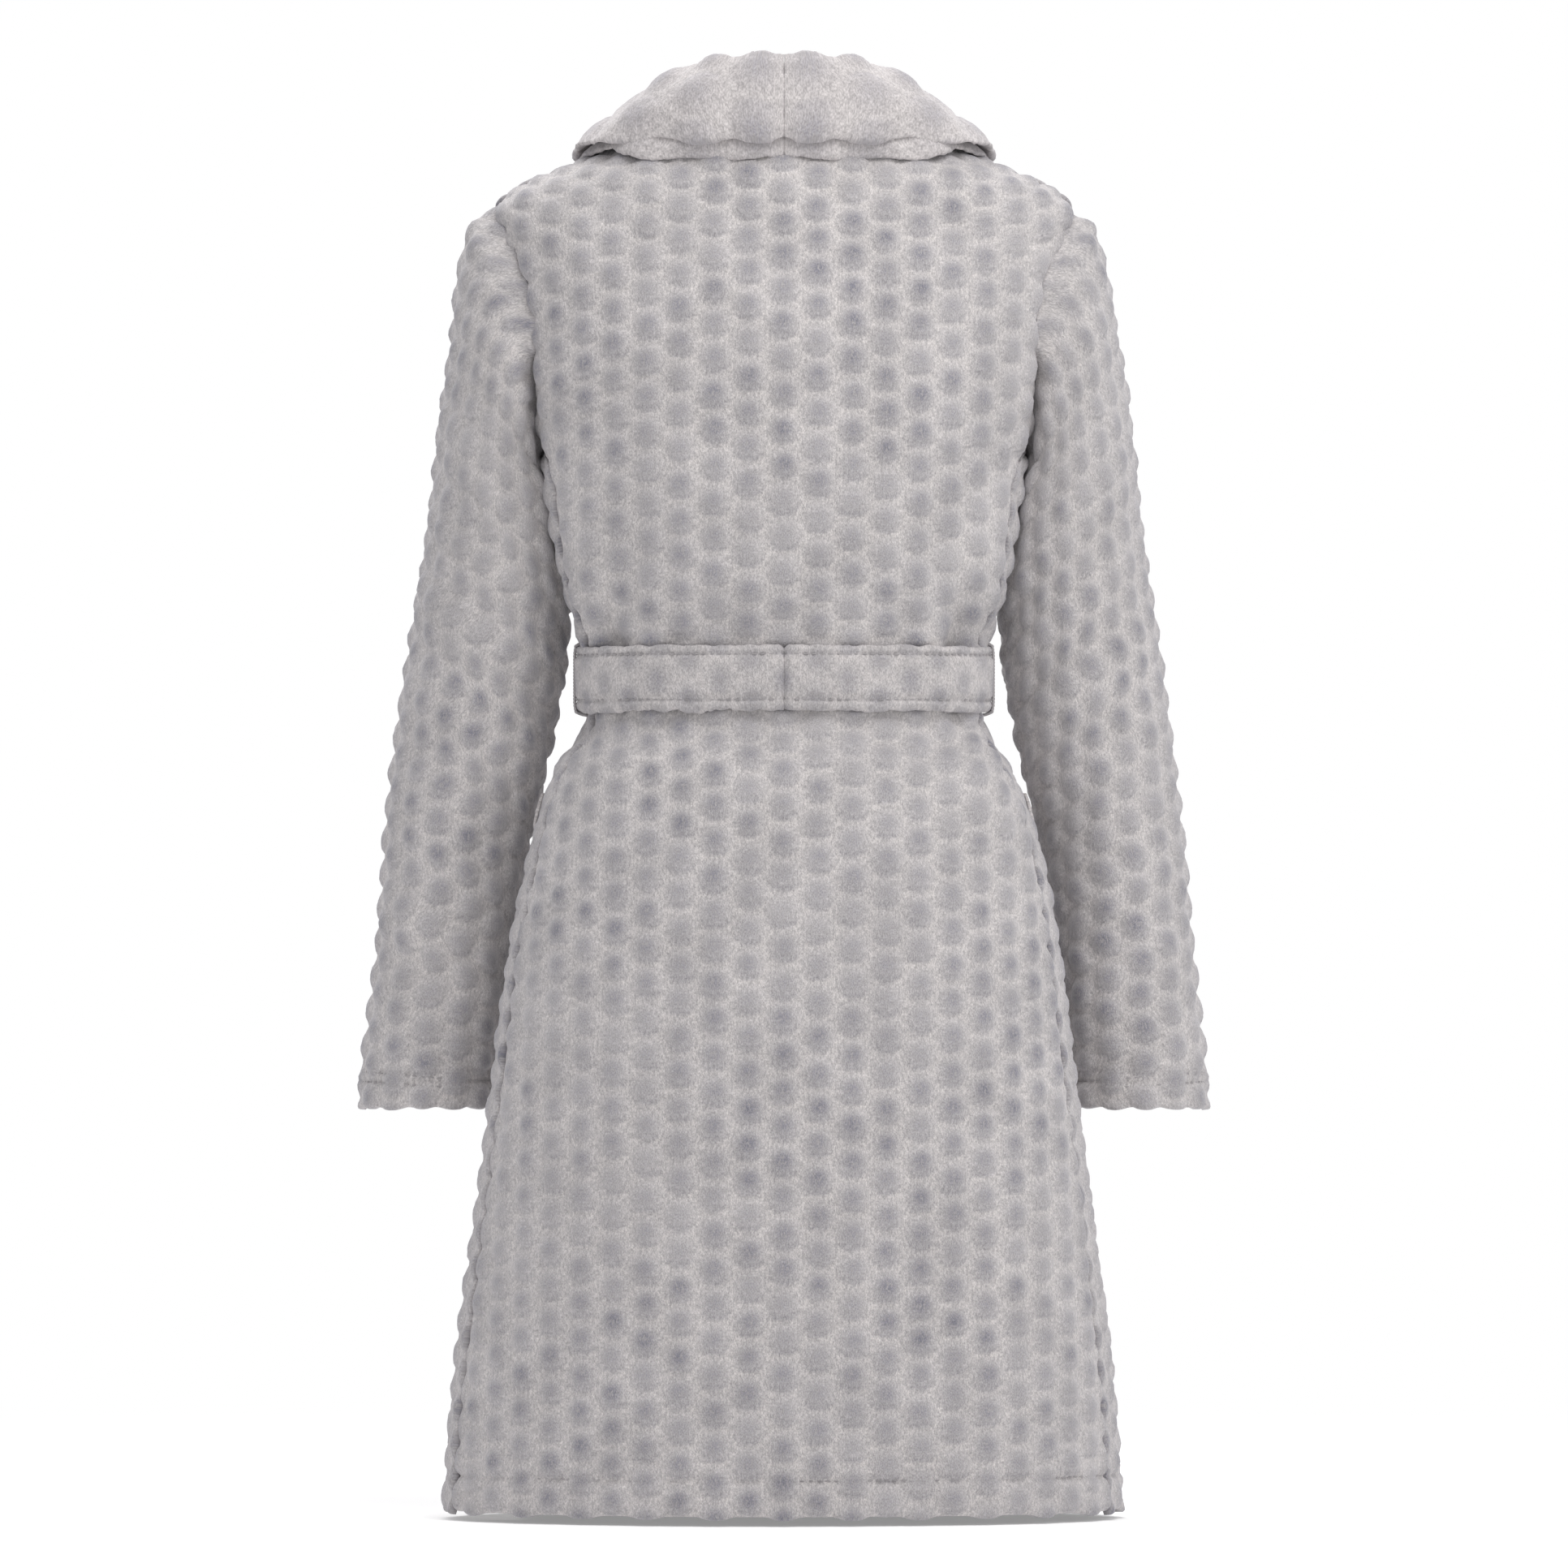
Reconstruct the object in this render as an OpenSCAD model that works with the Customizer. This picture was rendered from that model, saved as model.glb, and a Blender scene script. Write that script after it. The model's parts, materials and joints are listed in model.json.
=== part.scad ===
// Knee-length fleece bathrobe with a shawl collar, long sleeves, patch pockets and a tied belt.
// Millimetres. +Z is up, the front faces -Y and the wearer's left is +X.
// The origin is on the floor of the hem, on the robe's own centre plane.

/* [Body] */
// Height of the back neck edge above the hem
neck_z = 985; // [985:1:985]
// Half width at the shoulder points
shoulder_half = 200; // [196:1:204]
// Height of the shoulder points
shoulder_z = 915; // [912:1:917]
// Half width of the body under the belt
waist_half = 139.5; // [136:0.5:141]
// Half width of the hem
hem_half = 240; // [225:1:245]
// Thickness of one layer of fleece
fleece = 5; // [4:0.5:5]
// Height of the underarm
underarm_z = 748; // [745:1:752]
// Distance of the armhole's centre line from the robe's own centre plane, to the back
armhole_mid = 0; // [-4:1:4]
// Half depth of the armhole
armhole_half = 48; // [44:1:52]
// Angle by which each side seam lies behind the widest line
side_seam = 15; // [12:1:16]
// How far the under front lies inside the outer front
wrap_inset = 8; // [7:0.5:9]

/* [Belt] */
// Height of the belt's lower edge
belt_z = 565; // [563:1:567]
// Height of the belt band
belt_h = 46; // [40:1:47]
// Thickness of the belt band
belt_t = 6.5; // [5:0.5:6.5]
// Gap between the body and the belt
belt_gap = 2; // [2:0.5:2.5]
// Length of the belt's loose ends
tail_len = 286; // [240:1:300]
// Width of the belt's loose ends
tail_w = 42; // [36:1:44]

/* [Collar] */
// How far the upper collar's face stands out from the body
collar_lift = 13; // [13:0.5:14]
// Distance from the upper collar's face to the under collar's face
collar_step = 6.3; // [6:0.1:6.5]
// Width by which the under collar shows below the upper collar
collar_peek = 5; // [3:1:6]

/* [Sleeves] */
// Gap between the body and a sleeve's armhole edge
armhole_gap = 1.5; // [1.2:0.1:2]
// Depth of the cuff fold
cuff_h = 27; // [20:1:30]

/* [Trims] */
// Depth of the hem fold
hem_h = 26; // [20:1:30]
// Width of the front facings
facing_w = 60; // [50:1:65]
// Height of the patch pockets
pocket_h = 160; // [140:5:165]
// Height of a pocket's top edge
pocket_top = 505; // [500:1:508]
// Width of one row of thread
thread_w = 1.6; // [1.2:0.1:2]

/* [Hidden] */

fleece_grey = [0.74, 0.72, 0.73];
collar_grey = [0.78, 0.76, 0.76];
inner_grey = [0.70, 0.68, 0.69];
thread_grey = [0.62, 0.61, 0.62];
tape_grey = [0.66, 0.65, 0.67];
label_white = [0.90, 0.90, 0.89];

gap = 0.5;
layer_gap = 1.0;
lap = 4;
step = 0.002;

// Section stations of the body: height, half width, centre line, depth behind it, depth before it
BODY = [
    [0, hem_half, 8, 142, 158],
    [95, 233, 10, 138, 152],
    [186, 221, 12, 134, 147],
    [278, 209, 16, 130, 143],
    [380, 196, 19, 125, 138],
    [470, 179, 20, 116, 130],
    [528, 161, 18, 104, 119],
    [556, waist_half, 12, 88, 102],
    [620, waist_half, 12, 88, 102],
    [645, 154, 16, 94, 111],
    [694, 164, 22, 97, 122],
    [745, 171, 26, 97, 130],
    [808, 181, 28, 94, 131],
    [850, 186, 26, 90, 127],
    [880, 193, 19, 86, 118],
    [shoulder_z, shoulder_half, 8, 82, 105],
    [934, 185, 5, 78, 95],
    [948, 163, 3, 74, 86],
    [956, 137, 1, 71, 80],
    [966, 109, -2, 68, 74],
    [976, 88, -4, 65, 69],
    [neck_z, 76, -4, 61, 66]
];

// Front edge of a front panel: height, distance past the centre (negative is past it)
FRONT_EDGE = [
    [0, -105], [540, -92], [620, -86], [700, -48], [760, -15], [820, 14],
    [880, 37], [940, 57], [neck_z, 68]
];

// Outer edge of the lapel on the front: height, distance from the centre
LAPEL_EDGE = [
    [600, -52], [620, -42], [650, -20], [700, 14], [760, 56], [850, 106], [900, 126], [940, 140]
];

// Sleeve rings: top x, top z, bottom x, bottom z, centre y, half depth
SLEEVE = [
    [0.00, 199, shoulder_z, 176, underarm_z, armhole_mid, armhole_half],
    [0.04, 214, 897, 174, 736, -1, 56],
    [0.09, 228, 868, 172, 730, -8, 62],
    [0.17, 237, 826, 168, 712, -18, 67],
    [0.26, 246, 770, 162, 690, -28, 69],
    [0.38, 255, 690, 156, 655, -36, 67],
    [0.46, 264, 636, 153, 610, -42, 64],
    [0.58, 274, 551, 166, 540, -50, 60],
    [0.72, 286, 460, 184, 452, -60, 55],
    [0.86, 294, 369, 196, 356, -66, 52],
    [0.95, 300, 316, 203, 302, -69, 51],
    [1.00, 303, 283, 203, 283, -70, 50]
];

// Heights at which the body panels have a row of points
BODY_ROWS = [
    0, 60, 120, 180, 240, 300, 360, 415, 460, 500, 530, 545, 556, 588, 620, 632, 650, 690,
    720, underarm_z, underarm_z + 1.5, 758, 775, 800, 830, 860, 885, 902, shoulder_z - 1.5,
    shoulder_z, 930, 942, 954, 964, 974, neck_z
];

// ---- curves ----

function clamp01(t) = min(1, max(0, t));
function ease(t) = clamp01(t) * clamp01(t) * (3 - 2 * clamp01(t));
function mix(a, b, t) = a + (b - a) * t;

function span_of(t, x, i = 0) = (i >= len(t) - 2 || x < t[i + 1][0]) ? i : span_of(t, x, i + 1);
function chord(t, i, c) = (t[i + 1][c] - t[i][c]) / (t[i + 1][0] - t[i][0]);
function tangent(t, i, c) =
    i == 0 ? chord(t, 0, c)
    : i == len(t) - 1 ? chord(t, i - 1, c)
    : let (a = chord(t, i - 1, c), b = chord(t, i, c)) a * b <= 0 ? 0 : 2 * a * b / (a + b);

// Smooth value of column c of a table at x, with no overshoot between the rows
function curve(t, x, c) =
    let (
        i = span_of(t, x),
        h = t[i + 1][0] - t[i][0],
        s = clamp01((x - t[i][0]) / h),
        m0 = tangent(t, i, c) * h,
        m1 = tangent(t, i + 1, c) * h,
        d = t[i + 1][c] - t[i][c]
    )
    t[i][c] + m0 * s + (3 * d - 2 * m0 - m1) * s * s + (m0 + m1 - 2 * d) * s * s * s;

function curve3(t, x) = [curve(t, x, 1), curve(t, x, 2), curve(t, x, 3)];

// Height of a row of points for v from 0 to 1
row_z = function (v) BODY_ROWS[round(v * (len(BODY_ROWS) - 1))];

// ---- surfaces ----

function half_w(z) = curve(BODY, z, 1);
function mid_y(z) = curve(BODY, z, 2);
function depth(z, th) = curve(BODY, z, sin(th) >= 0 ? 3 : 4);

// Point on the body's face at an angle and a height
function body_pt(th, z) = [half_w(z) * cos(th), mid_y(z) + depth(z, th) * sin(th), z];

// Point on surface F, which takes an angle and a height, moved out along the surface's normal
function normal_at(F, th, z) =
    let (lo = max(0, z - 0.5), hi = min(neck_z, z + 0.5))
    unit(cross(F(th + 0.4, z) - F(th - 0.4, z), F(th, hi) - F(th, lo)));
function off_face(F, th, z, out) = F(th, z) + out * normal_at(F, th, z);

body_face = function (th, z) body_pt(th, z);
function on_body(th, z, out) = off_face(body_face, th, z, out);

// Angle on the front of the body at a side distance and a height
function front_angle(x, z) = -acos(max(-1, min(1, x / half_w(z))));

function edge_x(z) = curve(FRONT_EDGE, z, 1);
function edge_angle(z) = -acos(max(-1, min(1, edge_x(z) / half_w(z))));

// Depth of the armhole's edge at a height, behind (dir 1) or before (dir -1) its centre line
arm_mid_z = (shoulder_z + underarm_z) / 2;
arm_half_h = (shoulder_z - underarm_z) / 2;
function armhole_y(z, dir) =
    armhole_mid + dir * (armhole_half - lap) * sqrt(max(0, 1 - pow((z - arm_mid_z) / arm_half_h, 2)));

// Angle of the body's face at a depth and a height
function angle_at(y, z) =
    let (dy = y - mid_y(z), d = curve(BODY, z, dy >= 0 ? 3 : 4)) asin(max(-1, min(1, dy / d)));

// Side edge of a panel: side seam, then armhole, then shoulder seam
function side_angle(z, dir) =
    z <= underarm_z ? side_seam : z >= shoulder_z ? 0 : angle_at(armhole_y(z, dir), z);

function unit(v) = v / max(norm(v), 1e-9);
function face_normal(P, u, v) =
    unit(cross(
        P(min(1, u + step), v) - P(max(0, u - step), v),
        P(u, min(1, v + step)) - P(u, max(0, v - step))
    ));
// Surface P moved out along its own normal
function lifted(P, d) = function (u, v) P(u, v) + d * face_normal(P, u, v);

// Closed solid around a free surface P, down to a depth of t
module sheet(P, nu, nv, t) {
    outer = [for (j = [0 : nv]) for (i = [0 : nu]) P(i / nu, j / nv)];
    inner = [for (j = [0 : nv]) for (i = [0 : nu])
        P(i / nu, j / nv) - t * face_normal(P, i / nu, j / nv)];
    slab(outer, inner, nu, nv);
}

// Closed solid on surface F, at out from its face and t thick, between angles A(u, z) at heights Z(v)
module layer(F, A, Z, nu, nv, out, t) {
    outer = [for (j = [0 : nv]) for (i = [0 : nu]) off_face(F, A(i / nu, Z(j / nv)), Z(j / nv), out)];
    inner = [for (j = [0 : nv]) for (i = [0 : nu]) off_face(F, A(i / nu, Z(j / nv)), Z(j / nv), out - t)];
    slab(outer, inner, nu, nv);
}

// Closed solid between two equal grids of points
module slab(outer, inner, nu, nv) {
    row = nu + 1;
    face_n = row * (nv + 1);
    quads = concat(
        [for (j = [0 : nv - 1]) for (i = [0 : nu - 1])
            let (k = j * row + i) [k, k + row, k + row + 1, k + 1]],
        [for (j = [0 : nv - 1]) for (i = [0 : nu - 1])
            let (k = face_n + j * row + i) [k, k + 1, k + row + 1, k + row]],
        [for (i = [0 : nu - 1]) [i, i + 1, face_n + i + 1, face_n + i]],
        [for (i = [0 : nu - 1]) let (k = nv * row + i) [k + 1, k, face_n + k, face_n + k + 1]],
        [for (j = [0 : nv - 1]) let (k = j * row) [k + row, k, face_n + k, face_n + k + row]],
        [for (j = [0 : nv - 1]) let (k = j * row + nu)
            [k, k + row, face_n + k + row, face_n + k]]
    );
    polyhedron(concat(outer, inner), halves(quads), convexity = 8);
}

// Two triangles for each four-sided face
function halves(quads) = [for (q = quads) for (f = [[q[0], q[1], q[2]], [q[0], q[2], q[3]]]) f];

// Closed tube around surface P, where u goes once around
module tube(P, nu, nv, t) {
    face_n = nu * (nv + 1);
    outer = [for (j = [0 : nv]) for (i = [0 : nu - 1]) P(i / nu, j / nv)];
    inner = [for (j = [0 : nv]) for (i = [0 : nu - 1])
        P(i / nu, j / nv) - t * ring_normal(P, i / nu, j / nv)];
    quads = concat(
        [for (j = [0 : nv - 1]) for (i = [0 : nu - 1])
            let (a = j * nu + i, b = j * nu + (i + 1) % nu) [a, a + nu, b + nu, b]],
        [for (j = [0 : nv - 1]) for (i = [0 : nu - 1])
            let (a = face_n + j * nu + i, b = face_n + j * nu + (i + 1) % nu)
            [a, b, b + nu, a + nu]],
        [for (i = [0 : nu - 1]) let (b = (i + 1) % nu) [i, b, face_n + b, face_n + i]],
        [for (i = [0 : nu - 1]) let (a = nv * nu + i, b = nv * nu + (i + 1) % nu)
            [b, a, face_n + a, face_n + b]]
    );
    polyhedron(concat(outer, inner), halves(quads), convexity = 8);
}
function ring_normal(P, u, v) =
    unit(cross(
        P(u + step, v) - P(u - step, v),
        P(u, min(1, v + step)) - P(u, max(0, v - step))
    ));

// ---- body panels ----

seam_half = 0.25;
rows_n = len(BODY_ROWS) - 1;

module back_panel() {
    A = function (u, z) let (a = side_angle(z, 1) + seam_half) mix(a, 180 - a, u);
    color(fleece_grey) layer(body_face, A, row_z, 26, rows_n, 0, fleece);
}

// Depth by which the left front lies inside the right one, where they overlap
function inset_at(x, z) = wrap_inset * ease((54 - edge_x(z) - x) / 34);

left_front_face = function (th, z)
    let (x = half_w(z) * cos(th), inside = sin(th) < 0 ? inset_at(x, z) : 0)
    on_body(th, z, -inside);

module left_front_panel() {
    A = function (u, z) mix(edge_angle(z), side_angle(z, -1) - seam_half, u);
    color(fleece_grey) layer(left_front_face, A, row_z, 20, rows_n, 0, fleece);
}

// Fold line of the loose lower corner: distance past the centre at a height
flap_top = 430;
fold_low = 5;
fold_high = 93;
fold_gap = 0.8;
function fold_x(z) = mix(fold_low, fold_high, z / flap_top);

// The right front is drawn on the left side and mirrored. Below flap_top it stops at the fold line.
module right_front_panel() {
    A = function (u, z)
        let (
            past = min(fold_x(z) - fold_gap, -edge_x(z)),
            start = front_angle(-past, z)
        )
        mix(start, side_angle(z, -1) - seam_half, u);
    color(fleece_grey) mirror([1, 0, 0]) layer(body_face, A, row_z, 20, rows_n, 0, fleece);
}

module right_front_flap() {
    A = function (u, z) mix(edge_angle(z), front_angle(-fold_x(z) - fold_gap, z), u);
    Z = function (v) mix(0, flap_top - 16, v);
    color(fleece_grey) mirror([1, 0, 0]) layer(body_face, A, Z, 6, 14, 0, fleece);
}

// ---- sleeves ----

// Point on the left sleeve: u goes once around, v runs from the armhole to the cuff
function sleeve_pt(u, v) =
    let (
        ph = -360 * u,
        tx = curve(SLEEVE, v, 1),
        tz = curve(SLEEVE, v, 2),
        bx = curve(SLEEVE, v, 3),
        bz = curve(SLEEVE, v, 4),
        x = (tx + bx) / 2 + sin(ph) * (tx - bx) / 2,
        y = curve(SLEEVE, v, 5) + cos(ph) * curve(SLEEVE, v, 6),
        z = (tz + bz) / 2 + sin(ph) * (tz - bz) / 2,
        seated = body_x(y, z) + fleece + armhole_gap
    )
    [max(mix(seated, x, ease(v / 0.1)), seated), y, z];

// Side distance of the body's face at a depth and a height
function body_x(y, z) =
    let (
        dy = y - mid_y(z),
        d = curve(BODY, z, dy >= 0 ? 3 : 4),
        k = 1 - dy * dy / (d * d)
    )
    k <= 0 ? 0 : half_w(z) * sqrt(k);

// Points run from the cuff up to the armhole, so that the face looks outwards
module sleeve(side) {
    P = function (u, v) sleeve_pt(u, 1 - v);
    mirror([side < 0 ? 1 : 0, 0, 0]) tube(P, 22, 24, fleece);
}
module left_sleeve() { color(fleece_grey) sleeve(1); }
module right_sleeve() { color(fleece_grey) sleeve(-1); }

// Cuff fold: an inner ring at the wrist
module cuff_fold(side) {
    P = function (u, v) sleeve_pt(u, 1 - v * 0.045);
    Q = function (u, v) P(u, v) - (fleece + gap) * ring_normal(P, u, v) ;
    mirror([side < 0 ? 1 : 0, 0, 0]) tube(Q, 22, 2, 3);
}
module left_cuff_fold() { color(inner_grey) cuff_fold(1); }
module right_cuff_fold() { color(inner_grey) cuff_fold(-1); }

// Two rows of thread around the cuff
module cuff_stitching(side) {
    mirror([side < 0 ? 1 : 0, 0, 0])
        for (at = [0.030, 0.041]) {
            P = function (u, v) sleeve_pt(u, 1 - at - v * thread_w / 640);
            Q = function (u, v) P(u, v) + 0.9 * ring_normal(P, u, v);
            tube(Q, 22, 1, 0.6);
        }
}
module left_cuff_stitching() { color(thread_grey) cuff_stitching(1); }
module right_cuff_stitching() { color(thread_grey) cuff_stitching(-1); }

// ---- collar ----

// Stations around the neck, from the back seam to the front of the shoulder:
// run, outer edge, middle of the fall, roll line, inner edge of the stand
NECK = [
    [0.00, on_body(90, 960, collar_lift), [0, 86, 997], [0, 66, 1029], [0, 43, 984]],
    [0.10, on_body(66, 958, collar_lift), [50, 81, 997], [38, 60, 1028], [33, 39, 984]],
    [0.20, on_body(42, 955, collar_lift), [88, 64, 993], [62, 45, 1023], [52, 27, 985]],
    [0.30, on_body(20, 954, collar_lift), [113, 34, 990], [79, 22, 1016], [61, 12, 987]],
    [0.40, on_body(-6, 953, collar_lift), [117, -8, 989], [82, -8, 1008], [63, -12, 992]],
    [0.50, on_body(-34, 944, collar_lift), [114, -54, 975], [78, -48, 993], [70, -45, 991]]
];

// Station of the collar on the front, at a height, for the outer (right) or the under (left) lapel
function lapel_row(s, z, crossed) =
    let (
        rx = crossed ? edge_x(z) - 2 : max(edge_x(z) + 4, 12 - edge_x(z)),
        ex = max(curve(LAPEL_EDGE, z - 14, 1), rx + 8),
        roll = on_body(front_angle(rx, z), z, collar_lift + 0.5),
        edge = on_body(front_angle(ex, z - 14), z - 14, collar_lift + 0.5),
        middle = on_body(front_angle((rx + ex) / 2, z - 7), z - 7, collar_lift + 2),
        inner = roll - 0.12 * (middle - roll)
    )
    [s, edge, middle, roll, inner];

function across_centre(r) = concat([-r[0]], [for (p = [r[1], r[2], r[3], r[4]]) [-p[0], p[1], p[2]]]);
function collar_rows(end_z, crossed) =
    concat([across_centre(NECK[1])], NECK, [for (k = [0 : 9]) let (s = 0.57 + 0.43 * k / 9)
        lapel_row(s, mix(938, end_z, pow(k / 9, 1.2)), crossed)]);

// Column c of the collar's stations as a curve table
function strand(rows, c) = [for (r = rows) [r[0], r[c][0], r[c][1], r[c][2]]];

function collar_pt(strands, u, v) =
    let (
        across = [
            concat([0], curve3(strands[3], u)),
            concat([0.3], curve3(strands[2], u)),
            concat([0.65], curve3(strands[1], u)),
            concat([1], curve3(strands[0], u))
        ],
        past = max(0, v - 1)
    )
    curve3(across, v) + past / 0.04 * (curve3(across, 1) - curve3(across, 0.96));

// One half of the collar. drop moves it inwards, and lo and hi trim it across its width
module collar_half(end_z, crossed, drop, lo, hi) {
    rows = collar_rows(end_z, crossed);
    strands = [for (c = [1 : 4]) strand(rows, c)];
    P = function (u, v) collar_pt(strands, mix(0.0025, 1, u), mix(lo, hi, v));
    sheet(drop == 0 ? P : lifted(P, -drop), 22, 9, fleece - 0.6);
}
left_lapel_end = 754;
right_lapel_end = 634;
module left_upper_collar() { color(collar_grey) collar_half(left_lapel_end, false, 0, 0, 1); }
module right_upper_collar() {
    color(collar_grey) mirror([1, 0, 0]) collar_half(right_lapel_end, true, 0, 0, 1);
}
module left_under_collar() {
    color(inner_grey) collar_half(left_lapel_end, false, collar_step, 0.12, 1 + collar_peek / 100);
}
module right_under_collar() {
    color(inner_grey) mirror([1, 0, 0])
        collar_half(right_lapel_end, true, collar_step, 0.12, 1 + collar_peek / 100);
}

// ---- facings, tapes and folds inside the body ----

// Strip inside the front edge, below the belt
module left_front_facing() {
    A = function (u, z) mix(front_angle(edge_x(z) + 1, z), front_angle(edge_x(z) + facing_w, z), u);
    Z = function (v) mix(hem_h + 4, 530, v);
    color(inner_grey) layer(left_front_face, A, Z, 4, 14, -fleece - layer_gap, 2.5);
}
module right_front_facing() {
    A = function (u, z) mix(front_angle(edge_x(z) + 1, z), front_angle(-fold_x(z) - 3, z), u);
    Z = function (v) mix(hem_h + 4, flap_top - 60, v);
    color(inner_grey) mirror([1, 0, 0]) layer(body_face, A, Z, 4, 14, -fleece - 0.8, 1.4);
}

// Folded edge inside the hem
fold_low_z = 1;
fold_rows = function (v) mix(fold_low_z, hem_h, v);
module back_hem_fold() {
    A = function (u, z) mix(side_seam + 1, 179 - side_seam, u);
    color(inner_grey) layer(body_face, A, fold_rows, 26, 2, -fleece - gap, 3);
}
module left_front_hem_fold() {
    A = function (u, z) mix(edge_angle(z) + 1, side_seam - 1, u);
    color(inner_grey) layer(left_front_face, A, fold_rows, 20, 2, -fleece - gap, 3);
}
module right_front_hem_fold() {
    A = function (u, z) mix(front_angle(-fold_x(z) + 3, z), side_seam - 1, u);
    color(inner_grey) mirror([1, 0, 0]) layer(body_face, A, fold_rows, 20, 2, -fleece - gap, 2);
}

// Row of thread over the back hem
module back_hem_stitching() {
    A = function (u, z) mix(side_seam + 1, 179 - side_seam, u);
    Z = function (v) hem_h + thread_w * v;
    color(thread_grey) layer(body_face, A, Z, 26, 1, 1.0, 0.5);
}

// Tape over the back neck seam
module neck_tape() {
    A = function (u, z) mix(38, 142, u);
    Z = function (v) mix(960, 977, v);
    color(tape_grey) layer(body_face, A, Z, 14, 2, -fleece - 1.5, 1);
}

// Blank label under the neck tape
module neck_label() {
    label_w = 44;
    color(label_white) translate([-label_w / 2, 57, 928]) cube([label_w, 0.8, 28]);
}

// Loop that hangs the robe on a hook: a flat strip bent into a U
loop_pivot_z = 975;
module hanger_loop() {
    loop_w = 64;
    loop_h = 26;
    strip_w = 5;
    color(tape_grey) translate([0, 38, loop_pivot_z]) rotate([90, 0, 0])
        linear_extrude(1.6, center = true) difference() {
            union() {
                translate([-loop_w / 2, -loop_h / 2]) square([loop_w, loop_h / 2]);
                intersection() {
                    translate([0, -loop_h / 2]) scale([1, 1]) circle(d = loop_w, $fn = 48);
                    translate([-loop_w / 2, -loop_h]) square([loop_w, loop_h / 2]);
                }
            }
            translate([-loop_w / 2 + strip_w, -loop_h + strip_w])
                square([loop_w - 2 * strip_w, loop_h]);
        }
}

// Tape inside a shoulder seam
module shoulder_tape(side) {
    A = function (u, z) mix(-8, 8, u);
    Z = function (v) mix(925, 972, v);
    mirror([side < 0 ? 1 : 0, 0, 0]) layer(body_face, A, Z, 2, 8, -fleece - 3, 1.2);
}
module left_shoulder_tape() { color(tape_grey) shoulder_tape(1); }
module right_shoulder_tape() { color(tape_grey) shoulder_tape(-1); }

// ---- pockets ----

pocket_from = -57;
pocket_to = -13;
band_h = 30;
// Patch between two angles, from a height up to the pocket's top edge
module patch(side, low, out, rows, t) {
    A = function (u, z) mix(pocket_from, pocket_to, u);
    Z = function (v) mix(low, pocket_top, v);
    mirror([side < 0 ? 1 : 0, 0, 0]) layer(body_face, A, Z, 8, rows, out, t);
}
module pocket(side) {
    patch(side, pocket_top - pocket_h, 5.6, 8, 4);
}
module pocket_band(side) {
    patch(side, pocket_top - band_h, 8.2, 2, 2);
}
module left_pocket() { color(fleece_grey) pocket(1); }
module right_pocket() { color(fleece_grey) pocket(-1); }
module left_pocket_band() { color(collar_grey) pocket_band(1); }
module right_pocket_band() { color(collar_grey) pocket_band(-1); }

// ---- belt ----

belt_out = belt_gap + belt_t;
knot_x = -10;
belt_mid_z = belt_z + belt_h / 2;

// Half of the belt band, from the back seam to the knot
module belt_half(side) {
    start = front_angle(side * knot_x + 3, belt_mid_z);
    A = function (u, z) mix(start, 89.8, u);
    Z = function (v) mix(belt_z, belt_z + belt_h, v);
    mirror([side < 0 ? 1 : 0, 0, 0]) layer(belt_face, A, Z, 24, 3, belt_out, belt_t);
}
module belt_left_half() { color(fleece_grey) belt_half(1); }
module belt_right_half() { color(fleece_grey) belt_half(-1); }

// Upright face under the belt
belt_face = function (th, z) let (p = body_pt(th, belt_mid_z)) [p[0], p[1], z];

// Rows of thread along the belt's edges, around the back
module belt_stitching() {
    A = function (u, z) mix(-60, 240, u);
    color(thread_grey) for (at = [8, belt_h - 6]) {
        Z = function (v) belt_z + at + thread_w * v;
        layer(belt_face, A, Z, 48, 1, belt_out + 1.2, 0.6);
    }
}

// Flat knot in front of the belt
module belt_knot() {
    knot_y = mid_y(belt_mid_z) - depth(belt_mid_z, -90) - belt_out - 13;
    P = function (u, v)
        let (ph = 360 * u, ps = 180 * v - 90, c = cos(ps))
        [
            knot_x + 30 * sign(cos(ph)) * pow(abs(cos(ph)), 0.8) * pow(c, 0.7),
            knot_y - 11.5 * sign(sin(ps)) * pow(abs(sin(ps)), 0.8),
            belt_mid_z + 24 * sign(sin(ph)) * pow(abs(sin(ph)), 0.8) * pow(c, 0.7)
        ];
    n = 20;
    m = 8;
    points = concat(
        [[knot_x, knot_y + 11.5, belt_mid_z]],
        [for (j = [1 : m - 1]) for (i = [0 : n - 1]) P(i / n, j / m)],
        [[knot_x, knot_y - 11.5, belt_mid_z]]
    );
    last = len(points) - 1;
    faces = concat(
        [for (i = [0 : n - 1]) [0, 1 + i, 1 + (i + 1) % n]],
        halves([for (j = [0 : m - 3]) for (i = [0 : n - 1])
            let (a = 1 + j * n + i, b = 1 + j * n + (i + 1) % n) [a, a + n, b + n, b]]),
        [for (i = [0 : n - 1]) [last, last - n + (i + 1) % n, last - n + i]]
    );
    color(fleece_grey) polyhedron(points, faces, convexity = 2);
}

// Loose end of the belt: hangs from the knot in a plane that leans with the skirt
tail_top_z = 553;
tail_lean = 5.6;
module belt_end(x, y, slant) {
    P = function (u, v)
        let (down = tail_len * (1 - v), fan = 1 + 0.06 * (1 - v), ripple = 0.8 * sin(360 * u) * (1 - v))
        [
            x + (u - 0.5) * tail_w * fan * cos(slant) - down * sin(slant),
            y - down * sin(tail_lean) + ripple,
            tail_top_z - down * cos(tail_lean) * cos(slant) - (u - 0.5) * tail_w * sin(slant)
        ];
    sheet(P, 6, 14, 5);
}
module left_belt_end() { color(fleece_grey) belt_end(2, -119.5, 4); }
module right_belt_end() { color(fleece_grey) belt_end(-20, -112, 9); }

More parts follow.
